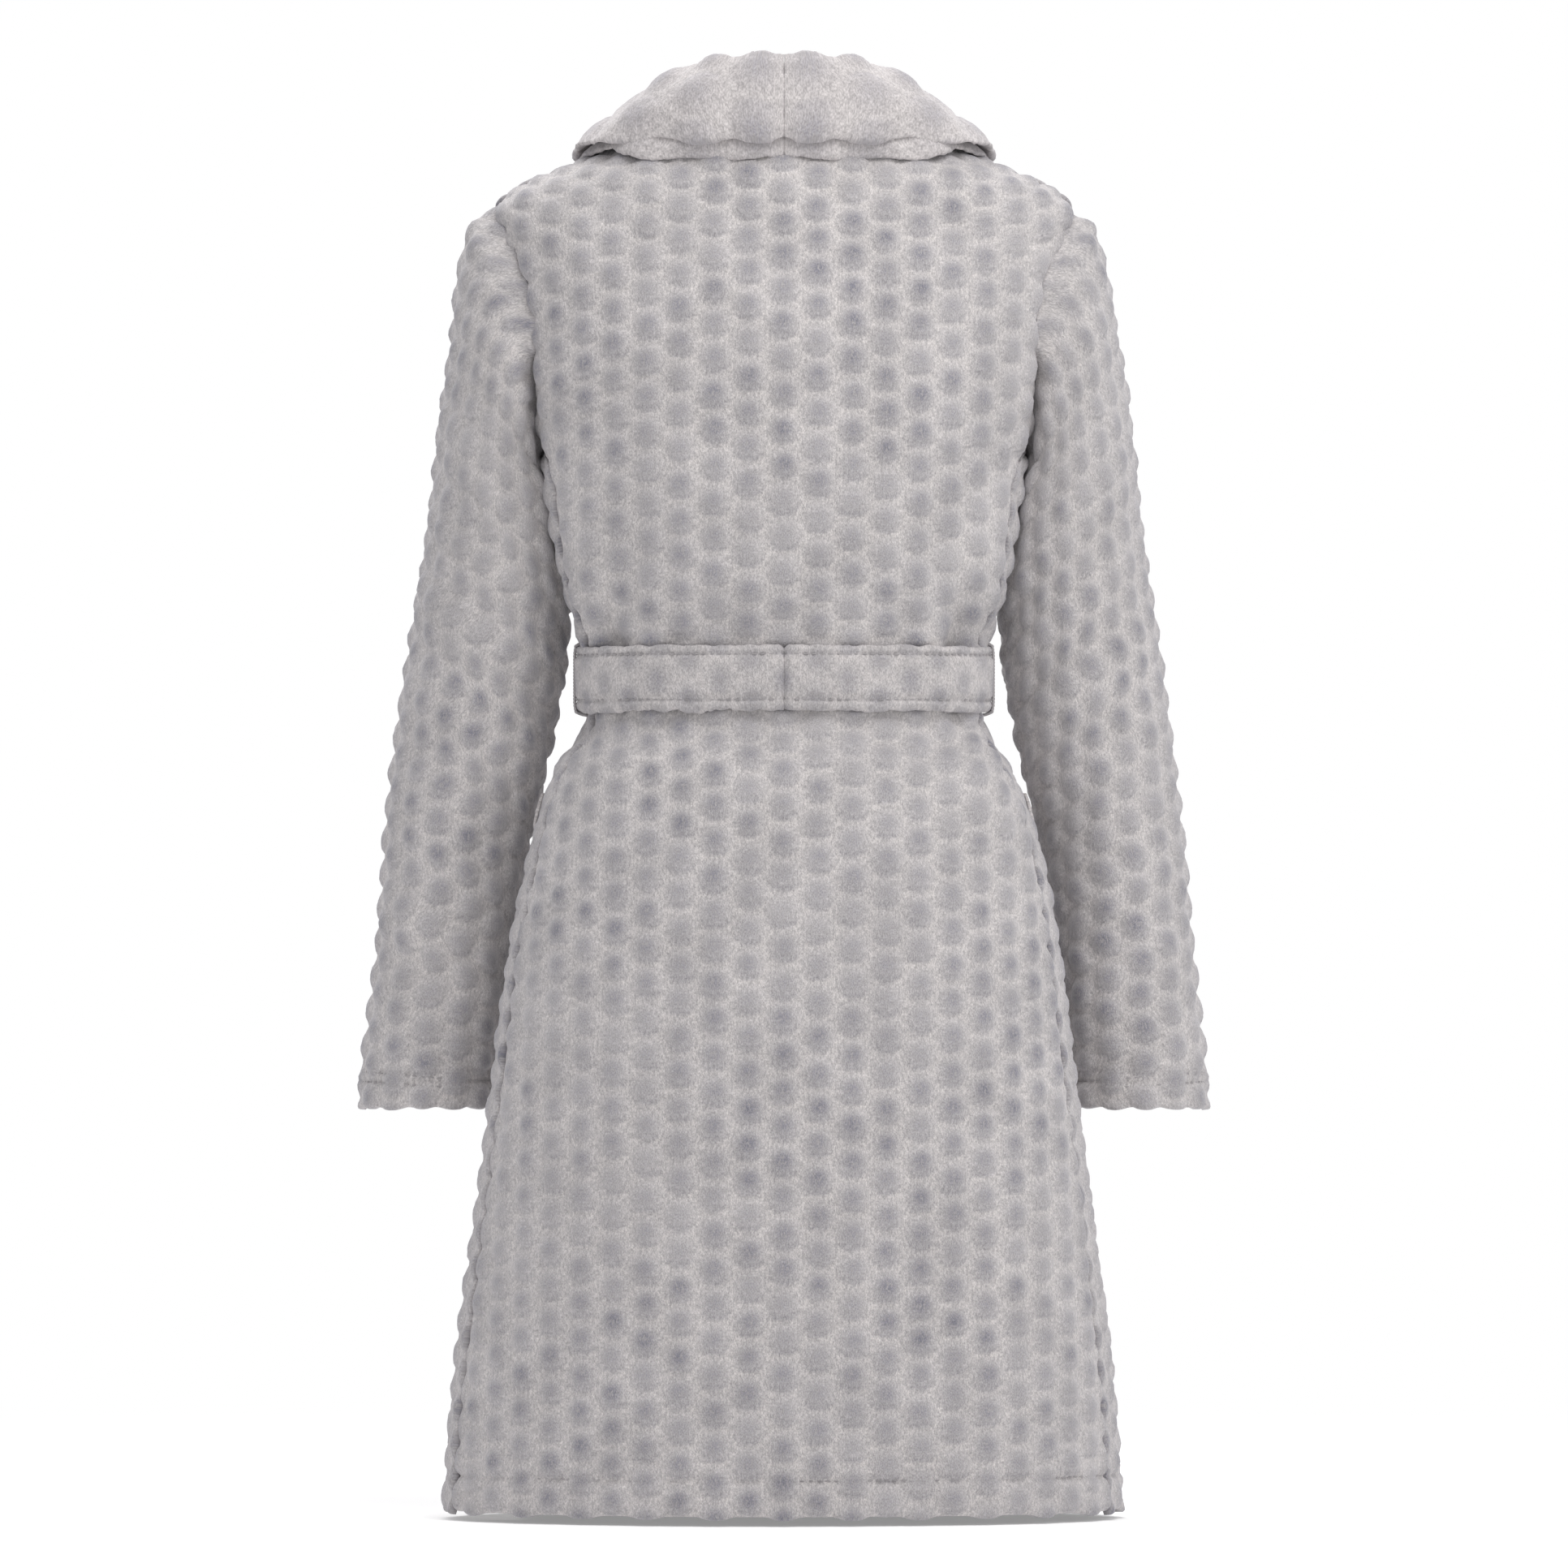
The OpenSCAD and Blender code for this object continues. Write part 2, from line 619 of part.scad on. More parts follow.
// Loop that holds the belt at a side seam: it stands out over the belt between its two ends
loop_h = 70;
loop_from = 2;
loop_to = 6.4;
module belt_loop(side) {
    P = function (u, v)
        let (k = 2 * v - 1, out = mix(2.6, belt_out + 5.6, 1 - pow(abs(k), 12)))
        off_face(belt_face, mix(loop_from, loop_to, u), belt_mid_z + k * loop_h / 2, out);
    mirror([side < 0 ? 1 : 0, 0, 0]) sheet(P, 2, 20, 1.5);
}
module left_belt_loop() { color(thread_grey) belt_loop(1); }
module right_belt_loop() { color(thread_grey) belt_loop(-1); }

back_panel();
left_front_panel();
right_front_panel();
right_front_flap();
left_sleeve();
right_sleeve();
left_upper_collar();
right_upper_collar();
left_under_collar();
right_under_collar();
left_front_facing();
right_front_facing();
left_pocket();
right_pocket();
left_pocket_band();
right_pocket_band();
left_belt_loop();
right_belt_loop();
neck_tape();
neck_label();
hanger_loop();
left_shoulder_tape();
right_shoulder_tape();
back_hem_fold();
left_front_hem_fold();
right_front_hem_fold();
left_cuff_fold();
right_cuff_fold();
back_hem_stitching();
left_cuff_stitching();
right_cuff_stitching();
belt_left_half();
belt_right_half();
belt_stitching();
belt_knot();
left_belt_end();
right_belt_end();
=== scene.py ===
"""Looks of the bathrobe: embossed fleece panels, collar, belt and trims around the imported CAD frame.

Metres. +Z is up, the front faces -Y and the wearer's left is +X. Every outline is read from the CAD nodes;
each visible piece is a fine mesh whose bubbles, folds, seams and rounded edges are real geometry.
Angles go round the robe's upright axis: 0 at the wearer's left, a quarter turn at the centre back.
"""

import json
import math

import bpy
import numpy as np
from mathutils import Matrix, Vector
from mathutils.bvhtree import BVHTree

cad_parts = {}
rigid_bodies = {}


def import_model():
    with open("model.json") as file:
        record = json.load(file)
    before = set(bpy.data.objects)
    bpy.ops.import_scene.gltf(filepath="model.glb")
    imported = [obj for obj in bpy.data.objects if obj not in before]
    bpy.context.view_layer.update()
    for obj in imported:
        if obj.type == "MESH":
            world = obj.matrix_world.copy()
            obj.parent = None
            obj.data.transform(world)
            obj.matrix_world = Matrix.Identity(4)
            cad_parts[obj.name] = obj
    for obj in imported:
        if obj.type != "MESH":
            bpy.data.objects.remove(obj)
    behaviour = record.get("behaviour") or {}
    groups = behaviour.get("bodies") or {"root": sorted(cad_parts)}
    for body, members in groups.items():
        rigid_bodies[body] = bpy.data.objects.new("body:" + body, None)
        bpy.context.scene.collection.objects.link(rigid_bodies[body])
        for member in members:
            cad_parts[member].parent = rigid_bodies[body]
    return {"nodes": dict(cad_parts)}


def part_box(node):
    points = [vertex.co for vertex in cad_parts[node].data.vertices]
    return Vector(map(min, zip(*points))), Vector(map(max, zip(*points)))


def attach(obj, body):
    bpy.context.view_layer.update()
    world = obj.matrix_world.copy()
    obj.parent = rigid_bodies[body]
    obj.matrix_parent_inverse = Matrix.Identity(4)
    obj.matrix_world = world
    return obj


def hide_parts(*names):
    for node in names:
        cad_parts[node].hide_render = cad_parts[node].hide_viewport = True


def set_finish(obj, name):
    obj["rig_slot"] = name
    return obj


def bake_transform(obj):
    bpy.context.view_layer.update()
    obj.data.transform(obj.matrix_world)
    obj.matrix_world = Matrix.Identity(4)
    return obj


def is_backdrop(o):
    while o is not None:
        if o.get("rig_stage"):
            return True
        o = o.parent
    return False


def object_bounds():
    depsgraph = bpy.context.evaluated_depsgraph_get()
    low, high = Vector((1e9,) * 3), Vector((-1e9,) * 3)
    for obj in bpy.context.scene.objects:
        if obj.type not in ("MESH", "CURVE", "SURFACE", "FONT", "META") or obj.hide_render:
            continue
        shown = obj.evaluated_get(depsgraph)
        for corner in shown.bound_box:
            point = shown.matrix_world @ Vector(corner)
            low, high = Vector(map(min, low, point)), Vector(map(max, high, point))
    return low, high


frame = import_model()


def plain_box(corner_pair):
    return [[float(c) for c in corner] for corner in corner_pair]


CAD_BOX = plain_box(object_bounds())
NODES = frame["nodes"]
MM = 0.001

# ---- driving values ----

SIDES = (("left", 1), ("right", -1))
AXIS_Y = 15 * MM  # the upright axis
OUTSIDE = 0.45  # distance from the axis at which a ray starts
FLEECE = 5 * MM  # thickness of one layer
FINE = 3.0 * MM  # grid step of a visible face
TRIM_STEP = 2.0 * MM  # grid step of a narrow trim
NEAR_EDGE = np.array([0, 0.8, 2.2]) * MM  # the first grid lines at an edge
ROW_TOLERANCE = 1e-6  # points this close in height are on one level

PITCH = (24.2 * MM, 25.0 * MM)  # bubble spacing across and along the fabric
BUBBLE_R = 12.0 * MM  # radius of a bubble's foot
BUBBLE_H = 3.5 * MM  # height of a bubble
STITCH_PITCH = 6 * MM
STITCH_LENGTH = 4.2 * MM
THREAD = 0.9 * MM

BACK = math.pi / 2  # angle of the centre back
FRONT_MID = math.radians(-50)  # angle of the middle of a front
SEAM_CLOSE = math.radians(0.35)  # how far a panel's edge moves to meet its neighbour
SHOULDER_Z = 0.890  # level at which the body turns in to the shoulder
UNDERARM_Z = 0.748  # lowest level of the armhole
NECK_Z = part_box("back_panel")[1].z
HEM_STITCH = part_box("back_hem_stitching")[0].z

SLEEVE_SPAN = 0.645  # length of a sleeve's grid, which ends in the armhole's seam
SLEEVE_RUN = 0.640  # length of a sleeve from its cuff to the armhole
SLEEVE_GIRTH = 0.340
CUFF_STITCH = (19.2 * MM, 26.24 * MM)  # distance of both stitch rows from the cuff's edge

BELT_LOW, BELT_HIGH = (p.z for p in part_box("belt_left_half"))
BELT_HEIGHT = BELT_HIGH - BELT_LOW
BELT_GROOVES = (8 * MM, BELT_HEIGHT - 6 * MM)  # level of both stitch rows on the belt
BELT_SPOTS = ((23 * MM, 26 * MM), 11 * MM)  # pitch and radius of the belt's darker spots
KNOT_SPOTS = ((22 * MM, 24 * MM), 10 * MM)
COLLAR_PITCH = (34 * MM, 31 * MM)
COLLAR_BUBBLE_R = 14.5 * MM
COLLAR_TURN_Z = 0.94  # the collar's fold line goes round the neck above this level

# ---- numbers ----


def smooth(lo, hi, x):
    t = np.clip((x - lo) / (hi - lo), 0, 1)
    return t * t * (3 - 2 * t)


def bell(x, width):
    return np.exp(-((x / width) ** 2))


def hashed(i, j, seed):
    """A random number from 0 to 1 for each whole-number cell."""
    v = np.sin(i * 12.9898 + j * 78.233 + seed * 37.719) * 43758.5453
    return v - np.floor(v)


def wobble(x, y, seed):
    """Smooth noise of about -1 to 1 over a plane, with features about 1 unit wide."""
    i, j = np.floor(x), np.floor(y)
    fx, fy = x - i, y - j
    fx, fy = fx * fx * (3 - 2 * fx), fy * fy * (3 - 2 * fy)
    low = hashed(i, j, seed) * (1 - fx) + hashed(i + 1, j, seed) * fx
    high = hashed(i, j + 1, seed) * (1 - fx) + hashed(i + 1, j + 1, seed) * fx
    return 2 * (low * (1 - fy) + high * fy) - 1


def lumps(across, along, seed, size, wide, long):
    """Noise over the cloth, `size` mm high, with features `wide` mm across and `long` mm along."""
    return size * MM * wobble(across / (wide * MM), along / (long * MM), seed)


def power(x, p):
    return np.sign(x) * np.abs(x) ** p


def unit(vectors):
    return vectors / np.maximum(np.linalg.norm(vectors, axis=-1, keepdims=True), 1e-12)


def lengths(path):
    """Distance along a path at each of its points."""
    return np.concatenate([[0], np.cumsum(np.linalg.norm(np.diff(path, axis=0), axis=1))])


def spread(length, step):
    """Shares from 0 to 1 along a length, an even number of steps, closer together next to the ends."""
    n = max(6, 2 * int(round(length / step / 2)))
    near = NEAR_EDGE / length
    inner = np.linspace(4.2 * MM / length, 1 - 4.2 * MM / length, n - 5)
    return np.concatenate([near, inner, 1 - near[::-1]])


# ---- reading the CAD surfaces ----


def corners(name, side=1):
    """A node's points, mirrored to the wearer's left for a side of -1."""
    me = NODES[name].data
    co = np.empty(len(me.vertices) * 3)
    me.vertices.foreach_get("co", co)
    return co.reshape(-1, 3) * [side, 1, 1]


def turned(points, centre=None):
    """Angle of each point, within half a turn of a centre."""
    angle = np.arctan2(points[:, 1] - AXIS_Y, points[:, 0])
    return angle if centre is None else np.mod(angle - centre + math.pi, math.tau) + centre - math.pi


def tree(*names):
    points, faces = [], []
    for name in names:
        base = len(points)
        me = NODES[name].data
        points += [v.co.copy() for v in me.vertices]
        faces += [[base + i for i in p.vertices] for p in me.polygons]
    return BVHTree.FromPolygons(points, faces)


class Surface:
    """Distance of a surface from the upright axis, on an even grid of angles and heights."""

    STEP = (math.radians(1.5), 4 * MM)
    INSET = 0.4 * MM  # rays stay this far inside the surface's ends

    def __init__(self, names, low, high, side=1, z_range=(0.0, 0.985), blur=(2.0, 1.6)):
        self.t0, self.z0 = low, z_range[0]
        self.dt = self.STEP[0]
        nt = int(round((high - low) / self.dt)) + 1
        nz = max(4, int(round((z_range[1] - z_range[0]) / self.STEP[1])) + 1)
        self.dz = (z_range[1] - z_range[0]) / (nz - 1)
        self.blur = blur
        self.grid = np.full((nz, nt), np.nan)
        found = tree(*names)
        for j in range(nz):
            z = min(max(self.z0 + j * self.dz, z_range[0] + self.INSET), z_range[1] - self.INSET)
            for i in range(nt):
                angle = low + i * self.dt
                away = Vector((side * math.cos(angle), math.sin(angle), 0))
                hit = found.ray_cast(Vector((0, AXIS_Y, z)) + away * OUTSIDE, -away, OUTSIDE - 30 * MM)
                if hit[0] is not None:
                    self.grid[j, i] = OUTSIDE - hit[3]

    def fill(self):
        """Fills rays that missed from their neighbours, and rounds off the facets."""
        for row in self.grid:
            known = np.isfinite(row)
            if known.any():
                row[~known] = np.interp(np.flatnonzero(~known), np.flatnonzero(known), row[known])
        rows = np.isfinite(self.grid[:, 0])
        for col in self.grid.T:
            col[~rows] = np.interp(np.flatnonzero(~rows), np.flatnonzero(rows), col[rows])
        self.grid = blurred(blurred(self.grid, self.blur[1], 0), self.blur[0], 1)
        return self

    def radius(self, angle, z):
        return cubic(self.grid, (z - self.z0) / self.dz, (angle - self.t0) / self.dt)

    def at(self, angle, z):
        r = self.radius(angle, z)
        return np.stack([r * np.cos(angle), AXIS_Y + r * np.sin(angle), z + 0 * r], -1)


def blurred(grid, sigma, axis):
    if sigma <= 0:
        return grid
    reach = int(3 * sigma) + 1
    kernel = np.exp(-0.5 * (np.arange(-reach, reach + 1) / sigma) ** 2)
    kernel /= kernel.sum()
    pad = [(reach, reach) if a == axis else (0, 0) for a in (0, 1)]
    # the ends are carried on in a straight line, so that they don't shrink
    wide = np.pad(grid, pad, mode="reflect", reflect_type="odd")
    return np.apply_along_axis(lambda m: np.convolve(m, kernel, mode="valid"), axis, wide)


def cubic(grid, y, x):
    """Smooth value of a grid at row y and column x."""
    rows, cols = grid.shape
    y, x = np.clip(y, 0, rows - 1), np.clip(x, 0, cols - 1)
    j = np.minimum(np.floor(y), rows - 2).astype(int)
    i = np.minimum(np.floor(x), cols - 2).astype(int)
    wy, wx = spline_weights(y - j), spline_weights(x - i)
    total = 0
    for a in range(4):
        row = np.clip(j + a - 1, 0, rows - 1)
        for b in range(4):
            total = total + wy[a] * wx[b] * grid[row, np.clip(i + b - 1, 0, cols - 1)]
    return total


def spline_weights(t):
    return (
        ((-0.5 * t + 1) * t - 0.5) * t,
        (1.5 * t - 2.5) * t * t + 1,
        ((-1.5 * t + 2) * t + 0.5) * t,
        (0.5 * t - 0.5) * t * t,
    )


# ---- meshes ----


def new_mesh(name, points, faces, attributes=None):
    me = bpy.data.meshes.new(name)
    me.from_pydata(np.asarray(points, np.float32), [], faces, shade_flat=False)
    me.validate()
    for key, values in (attributes or {}).items():
        layer = me.attributes.new(key, "FLOAT_VECTOR", "POINT")
        layer.data.foreach_set("vector", np.asarray(values, np.float32).ravel())
    obj = bpy.data.objects.new(name, me)
    bpy.context.scene.collection.objects.link(obj)
    return obj


def dressed(piece, slot, *nodes):
    """Makes a piece stand for CAD nodes, with the finish of a material slot."""
    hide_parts(*nodes)
    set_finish(piece, slot)
    return piece


def placed(piece, body, slot, *nodes):
    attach(piece, body)
    return dressed(piece, slot, *nodes)


def normals(grid, wrap=False):
    """Unit normals of a grid, outwards where columns run anticlockwise and rows run upwards."""
    across = np.roll(grid, -1, 1) - np.roll(grid, 1, 1) if wrap else np.gradient(grid, axis=1)
    return unit(np.cross(across, np.gradient(grid, axis=0)))


def quads(rows, cols, base, flip=False, wrap=False):
    j, i = np.meshgrid(np.arange(rows - 1), np.arange(cols if wrap else cols - 1), indexing="ij")
    k = (i + 1) % cols
    low, high = base + j * cols, base + (j + 1) * cols
    faces = np.stack([low + i, low + k, high + k, high + i], -1).reshape(-1, 4)
    return faces[:, ::-1] if flip else faces


def rim(fine, coarse):
    """Faces between a fine border and the coarse border of every second point behind it."""
    faces = []
    for k in range(len(coarse) - 1):
        a, b, c = fine[2 * k], fine[2 * k + 1], fine[2 * k + 2]
        faces += [(a, coarse[k], b), (b, coarse[k], coarse[k + 1]), (b, coarse[k + 1], c)]
    return faces


def borders(rows, cols, base, ring):
    """Points around a grid, anticlockwise: one border, or one for each end of a ring."""
    if ring:
        around = np.arange(cols + 1) % cols
        return [base + around, base + (rows - 1) * cols + around[::-1]]
    grid = base + np.arange(rows * cols).reshape(rows, cols)
    return [np.concatenate([grid[0], grid[1:, -1], grid[-1, -2::-1], grid[-2::-1, 0]])]


def shell(name, face, back, fields, mirrored=False, ring=False):
    """Closed piece between a fine grid of points and the same grid moved back, thinned to every second
    point. A ring's last column is joined to its first."""
    thin = back[::2, ::2]
    grids = [(*face.shape[:2], 0), (*thin.shape[:2], face.shape[0] * face.shape[1])]
    faces = [*quads(*grids[0], wrap=ring), *quads(*grids[1], flip=True, wrap=ring)]
    for fine, coarse in zip(borders(*grids[0], ring), borders(*grids[1], ring)):
        faces += rim(fine, coarse)
    points = np.concatenate([face.reshape(-1, 3), thin.reshape(-1, 3)])
    if mirrored:
        points, faces = points * [-1, 1, 1], [f[::-1] for f in faces]
    values = {k: np.concatenate([f.reshape(-1, 3), f[::2, ::2].reshape(-1, 3)]) for k, f in fields.items()}
    return new_mesh(name, points, faces, values)


# ---- fabric ----


def bubbles(across, along, seed, pitch=PITCH, radius=BUBBLE_R):
    """Height (0 to 1) of the embossed bubbles, and for the material: distance from the bubble's centre,
    how dark its pile is, and the shadow under its lower edge."""
    best = np.full(np.shape(across), np.inf)
    dark, low = np.zeros(np.shape(across)), np.zeros(np.shape(across))
    for k in (0, 1):
        col = np.floor(across / pitch[0]) + k
        shift = 0.5 * pitch[1] * (col % 2)
        row = np.round((along - shift) / pitch[1])
        dx = across - col * pitch[0] - 1.6 * MM * (hashed(col, row, seed + 1) - 0.5)
        dz = along - row * pitch[1] - shift - 1.6 * MM * (hashed(col, row, seed + 2) - 0.5)
        size = 0.93 + 0.14 * hashed(col, row, seed + 3)
        d = np.hypot(dx, dz) / (radius * size)
        near = d < best
        best = np.where(near, d, best)
        dark = np.where(near, hashed(col, row, seed), dark)
        low = np.where(near, dz / radius, low)
    inside = np.clip(1 - best**2, 0, 1)
    fade = smooth(1.12, 0.85, best)
    region = 0.8 + 0.35 * wobble(across / 0.09 + seed, along / 0.07, seed + 4)
    strength = np.minimum((0.5 + 0.5 * dark) * region, 0.88) * fade
    under = smooth(-0.30, -0.80, low) * smooth(1.12, 0.90, best) * smooth(0.45, 0.80, best)
    height = inside**0.9 * (1 - 0.24 * low) * (0.8 + 0.3 * dark)
    return height, np.stack([best, strength, under], -1)


def no_bubbles(across):
    """The material's bubble values where the cloth is plain."""
    return np.stack([0 * across + 1.4, 0 * across, 0 * across], -1)


def fabric_fields(across, along, place):
    return {"fab": np.stack([across, along, 0 * across], -1), "cell": place}


def spotted(across, along, seed, shift, spots):
    """Fields of flat pile that keeps the bubbles' darker centres and the painted shadow under their lower
    edges.
    """
    _, place = bubbles(across + shift[0], along + shift[1], seed, *spots)
    return fabric_fields(across, along, place)


def arc_lengths(points, origin):
    """Distance across and along the cloth at each point of a grid, across from column `origin`."""
    steps_across = np.linalg.norm(np.diff(points, axis=1), axis=2)
    steps_along = np.linalg.norm(np.diff(points, axis=0), axis=2)
    across = np.concatenate([np.zeros((len(points), 1)), np.cumsum(steps_across, 1)], 1)
    along = np.concatenate([np.zeros((1, points.shape[1])), np.cumsum(steps_along, 0)])
    return across - across[:, origin : origin + 1], along


def ring_lengths(points, origin):
    """arc_lengths of a ring grid, and its girth at each row."""
    across, along = arc_lengths(np.concatenate([points, points[:, :1]], 1), origin)
    return across[:, :-1], along[:, :-1], across[:, -1:] - across[:, :1]


def edge_roll(distance, radius=3.0 * MM):
    """How far a face drops near a free edge, so that the edge is round."""
    t = np.clip(1 - distance / radius, 0, 1)
    return radius * (1 - np.sqrt(1 - t * t)) * 0.75


def puckered(run):
    """Share of a stitched channel's depth, deepest under each stitch."""
    return 0.75 + 0.25 * np.cos(run * math.tau / STITCH_PITCH)


def scalloped(rise, raised):
    """How far the cloth's lowest edge moves up or down with the bubbles that it cuts."""
    return np.clip(1 - rise / (9 * MM), 0, 1) * (0.8 - 2.6 * raised) * MM


def between(levels, values, slack=0.0):
    return lambda z: np.interp(z, levels, values) + slack


# ---- folds of the hanging cloth ----

# x at the belt, lean (x per height), width, depth, length: folds that run down from the belt
FOLDS_BELOW = (
    (0.094, 0.10, 0.0055, 2.6 * MM, 0.055),
    (0.107, 0.14, 0.0055, 4.2 * MM, 0.080),
    (0.120, 0.20, 0.0055, 3.6 * MM, 0.070),
    (-0.112, -0.30, 0.0075, 3.0 * MM, 0.070),
    (-0.131, 0.25, 0.0080, 5.0 * MM, 0.090),
    (-0.030, 0.05, 0.0110, 1.4 * MM, 0.080),
    (0.040, 0.08, 0.0120, 1.2 * MM, 0.090),
)
# folds that run up from the belt
FOLDS_ABOVE = (
    (0.137, 0.05, 0.0095, 6.0 * MM, 0.080),
    (0.100, 0.10, 0.0110, 2.0 * MM, 0.050),
    (-0.140, 0.05, 0.0095, 6.0 * MM, 0.080),
    (-0.104, 0.12, 0.0090, 2.4 * MM, 0.060),
    (0.020, 0.05, 0.0120, 1.2 * MM, 0.050),
)
FRONT_SHARE = 0.75  # the front's folds are shallower


def crease(x, width, lobe):
    """A ridge between two shallow valleys."""
    return bell(x, width) - lobe * bell(x - 1.7 * width, width) - lobe * bell(x + 1.7 * width, width)


def folded(points, normal):
    """Moves the cloth into the folds that the belt gathers, and lets it hang in slow waves."""
    x, y, z = points[..., 0], points[..., 1], points[..., 2]
    depth = np.zeros(x.shape)
    fall, rise = np.maximum(BELT_LOW - z, 0), np.maximum(z - BELT_HIGH, 0)
    for at, lean, width, deep, length in FOLDS_BELOW:
        line = x - at - math.copysign(lean, at) * fall * (1 + fall / length) * 0.7
        shape = crease(line, width * (1 + 2.0 * fall / length), 0.6)
        depth += deep * shape * np.exp(-fall / length) * (z < BELT_HIGH)
    for at, lean, width, deep, length in FOLDS_ABOVE:
        line = x - at - math.copysign(lean, at) * rise
        shape = crease(line, width * (1 + 1.5 * rise / length), 0.8)
        depth += deep * shape * smooth(1.5 * length, 0.3 * length, rise) * (z > BELT_LOW)
    slow = 2.6 * MM * smooth(BELT_LOW, 0.12, z) * wobble(x / 0.075 + 3, z / 0.30 + 5 * (y > AXIS_Y), 4)
    chest = 1.6 * MM * smooth(BELT_HIGH + 0.03, 0.75, z) * smooth(0.93, 0.86, z)
    share = np.where(y > AXIS_Y, 1, FRONT_SHARE)
    return points + normal * (depth * share + slow + chest * wobble(x / 0.07, z / 0.09, 9))[..., None]


def padded(points):
    """Fullness of the fleece over the top of each shoulder, shared by the body and the sleeves."""
    x, z = points[..., 0], points[..., 2]
    full = 11 * MM * bell(np.abs(x) - 0.200, 0.034) * bell(z - 0.900, 0.036)
    return points + np.stack([0.75 * np.sign(x) * full, 0 * full, 0.66 * full], -1)


# ---- torso panels ----


def whole_torso():
    """The right half's outside, mirrored to the left and repeated all the way round."""
    nodes = ("back_panel", "right_front_panel", "right_front_flap")
    surface = Surface(nodes, -math.pi / 2, math.pi / 2, side=-1)
    surface.t0 = -2.5 * math.pi
    surface.grid = np.concatenate([surface.grid, surface.grid[:, ::-1][:, 1:-1]] * 2, 1)
    return surface.fill()


def panel_rows():
    """Levels of a panel: even along the cloth, closer on the shoulders and next to both ends."""
    first = 4.5 * MM
    body = np.linspace(first, SHOULDER_Z, int((SHOULDER_Z - first) / FINE))
    count = int((NECK_Z - SHOULDER_Z) / (1.75 * MM))
    count += (count + len(body)) % 2 + 1
    rows = np.concatenate([NEAR_EDGE, body, np.linspace(SHOULDER_Z, NECK_Z, count)[1:]])
    return rows if len(rows) % 2 else np.delete(rows, len(rows) - 2)


TORSO = whole_torso()
LEFT_FRONT = Surface(("left_front_panel",), math.radians(-135), math.radians(27)).fill()
PANEL_ROWS = panel_rows()


def cloth_distances(points, origin):
    """Distance across the cloth from a column, and along it from the hem, where rows are level."""
    across, _ = arc_lengths(points, origin)
    n = normals(points)
    rise = np.diff(points[..., 2], axis=0)
    slope = 1 / np.sqrt(np.clip(1 - n[..., 2] ** 2, 0.05, 1))
    along = np.cumsum(np.concatenate([points[:1, :, 2], rise * 0.5 * (slope[1:] + slope[:-1])]), 0)
    return across, along


def eased_edge(rows, edge):
    """A panel's edge angle at each row, with the step under the arm rounded off."""
    reach = np.linspace(-16 * MM, 16 * MM, 17)
    weight = np.exp(-0.5 * (reach / (7 * MM)) ** 2)
    return sum(w * edge(rows + r) for w, r in zip(weight / weight.sum(), reach))


def panel_edges(name, side, centre, columns, window=ROW_TOLERANCE):
    """Lowest and highest angle of a panel at each of its level rows of points."""
    co = np.unique(np.round(corners(name, side), 5), axis=0)
    angle = turned(co, centre)
    levels, counts = np.unique(co[:, 2], return_counts=True)
    levels = levels[counts >= columns]
    rows = [angle[np.abs(co[:, 2] - v) <= window] for v in levels]
    return levels, np.array([r.min() for r in rows]), np.array([r.max() for r in rows])


def torso_panel(name, surface, low, high, origin, seed, mirrored=False, flat=None):
    """One fleece panel. low and high give its edge angles at a height, origin is the share of its width
    from which bubbles are laid out, and flat gives the height of its bubbles at an angle and a level."""
    lo, hi = eased_edge(PANEL_ROWS, low), eased_edge(PANEL_ROWS, high)
    widest = float(np.max((hi - lo) * surface.radius((lo + hi) / 2, PANEL_ROWS)))
    u = spread(widest, FINE)
    angle = lo[:, None] + (hi - lo)[:, None] * u[None, :]
    z = np.repeat(PANEL_ROWS[:, None], len(u), 1)
    flip = np.array([-1 if mirrored else 1, 1, 1])
    points = padded(surface.at(angle, z))
    across, along = cloth_distances(points, int(origin * (len(u) - 1)))
    points = folded(points * flip, normals(points) * flip) * flip
    n = normals(points)
    raised, place = bubbles(across, along, seed)
    # the arm presses the cloth flat beside the hip, and the belt flattens what lies under it
    hip = smooth(0.40, 0.55, z) * smooth(BELT_LOW, BELT_LOW - 0.03, z) * smooth(0.02, 0.09, points[..., 0])
    tame = (1 - 0.45 * hip) * (1 if flat is None else flat(angle, z))
    above_low = smooth(BELT_LOW - 4 * MM, BELT_LOW + 6 * MM, z)
    below_high = smooth(BELT_HIGH + 4 * MM, BELT_HIGH - 6 * MM, z)
    from_first, _ = arc_lengths(points, 0)
    from_last = from_first[:, -1:] - from_first
    drop = edge_roll(from_first) + edge_roll(from_last) + edge_roll(z, 3.5 * MM)
    stitch = 2.6 * MM * bell(z - HEM_STITCH, 2.6 * MM) * puckered(across) * (z < 0.1)
    pile = lumps(across, along, seed, 0.5, 2.6, 3.6)
    lift = (BUBBLE_H * raised * tame + pile) * (1 - 0.9 * above_low * below_high) - drop - stitch
    face = points + n * lift[..., None]
    back = points - n * (FLEECE - 0.3 * drop)[..., None]
    for layer in (face, back):
        layer[..., 2] += scalloped(z, raised)
    return shell(name, face, back, fabric_fields(across, along, place), mirrored)


def build_back():
    levels, low, high = panel_edges("back_panel", 1, BACK, 27)
    low_edge, high_edge = between(levels, low, -SEAM_CLOSE), between(levels, high, SEAM_CLOSE)
    placed(torso_panel("back", TORSO, low_edge, high_edge, 0.5, 11), "torso", "fleece", "back_panel")


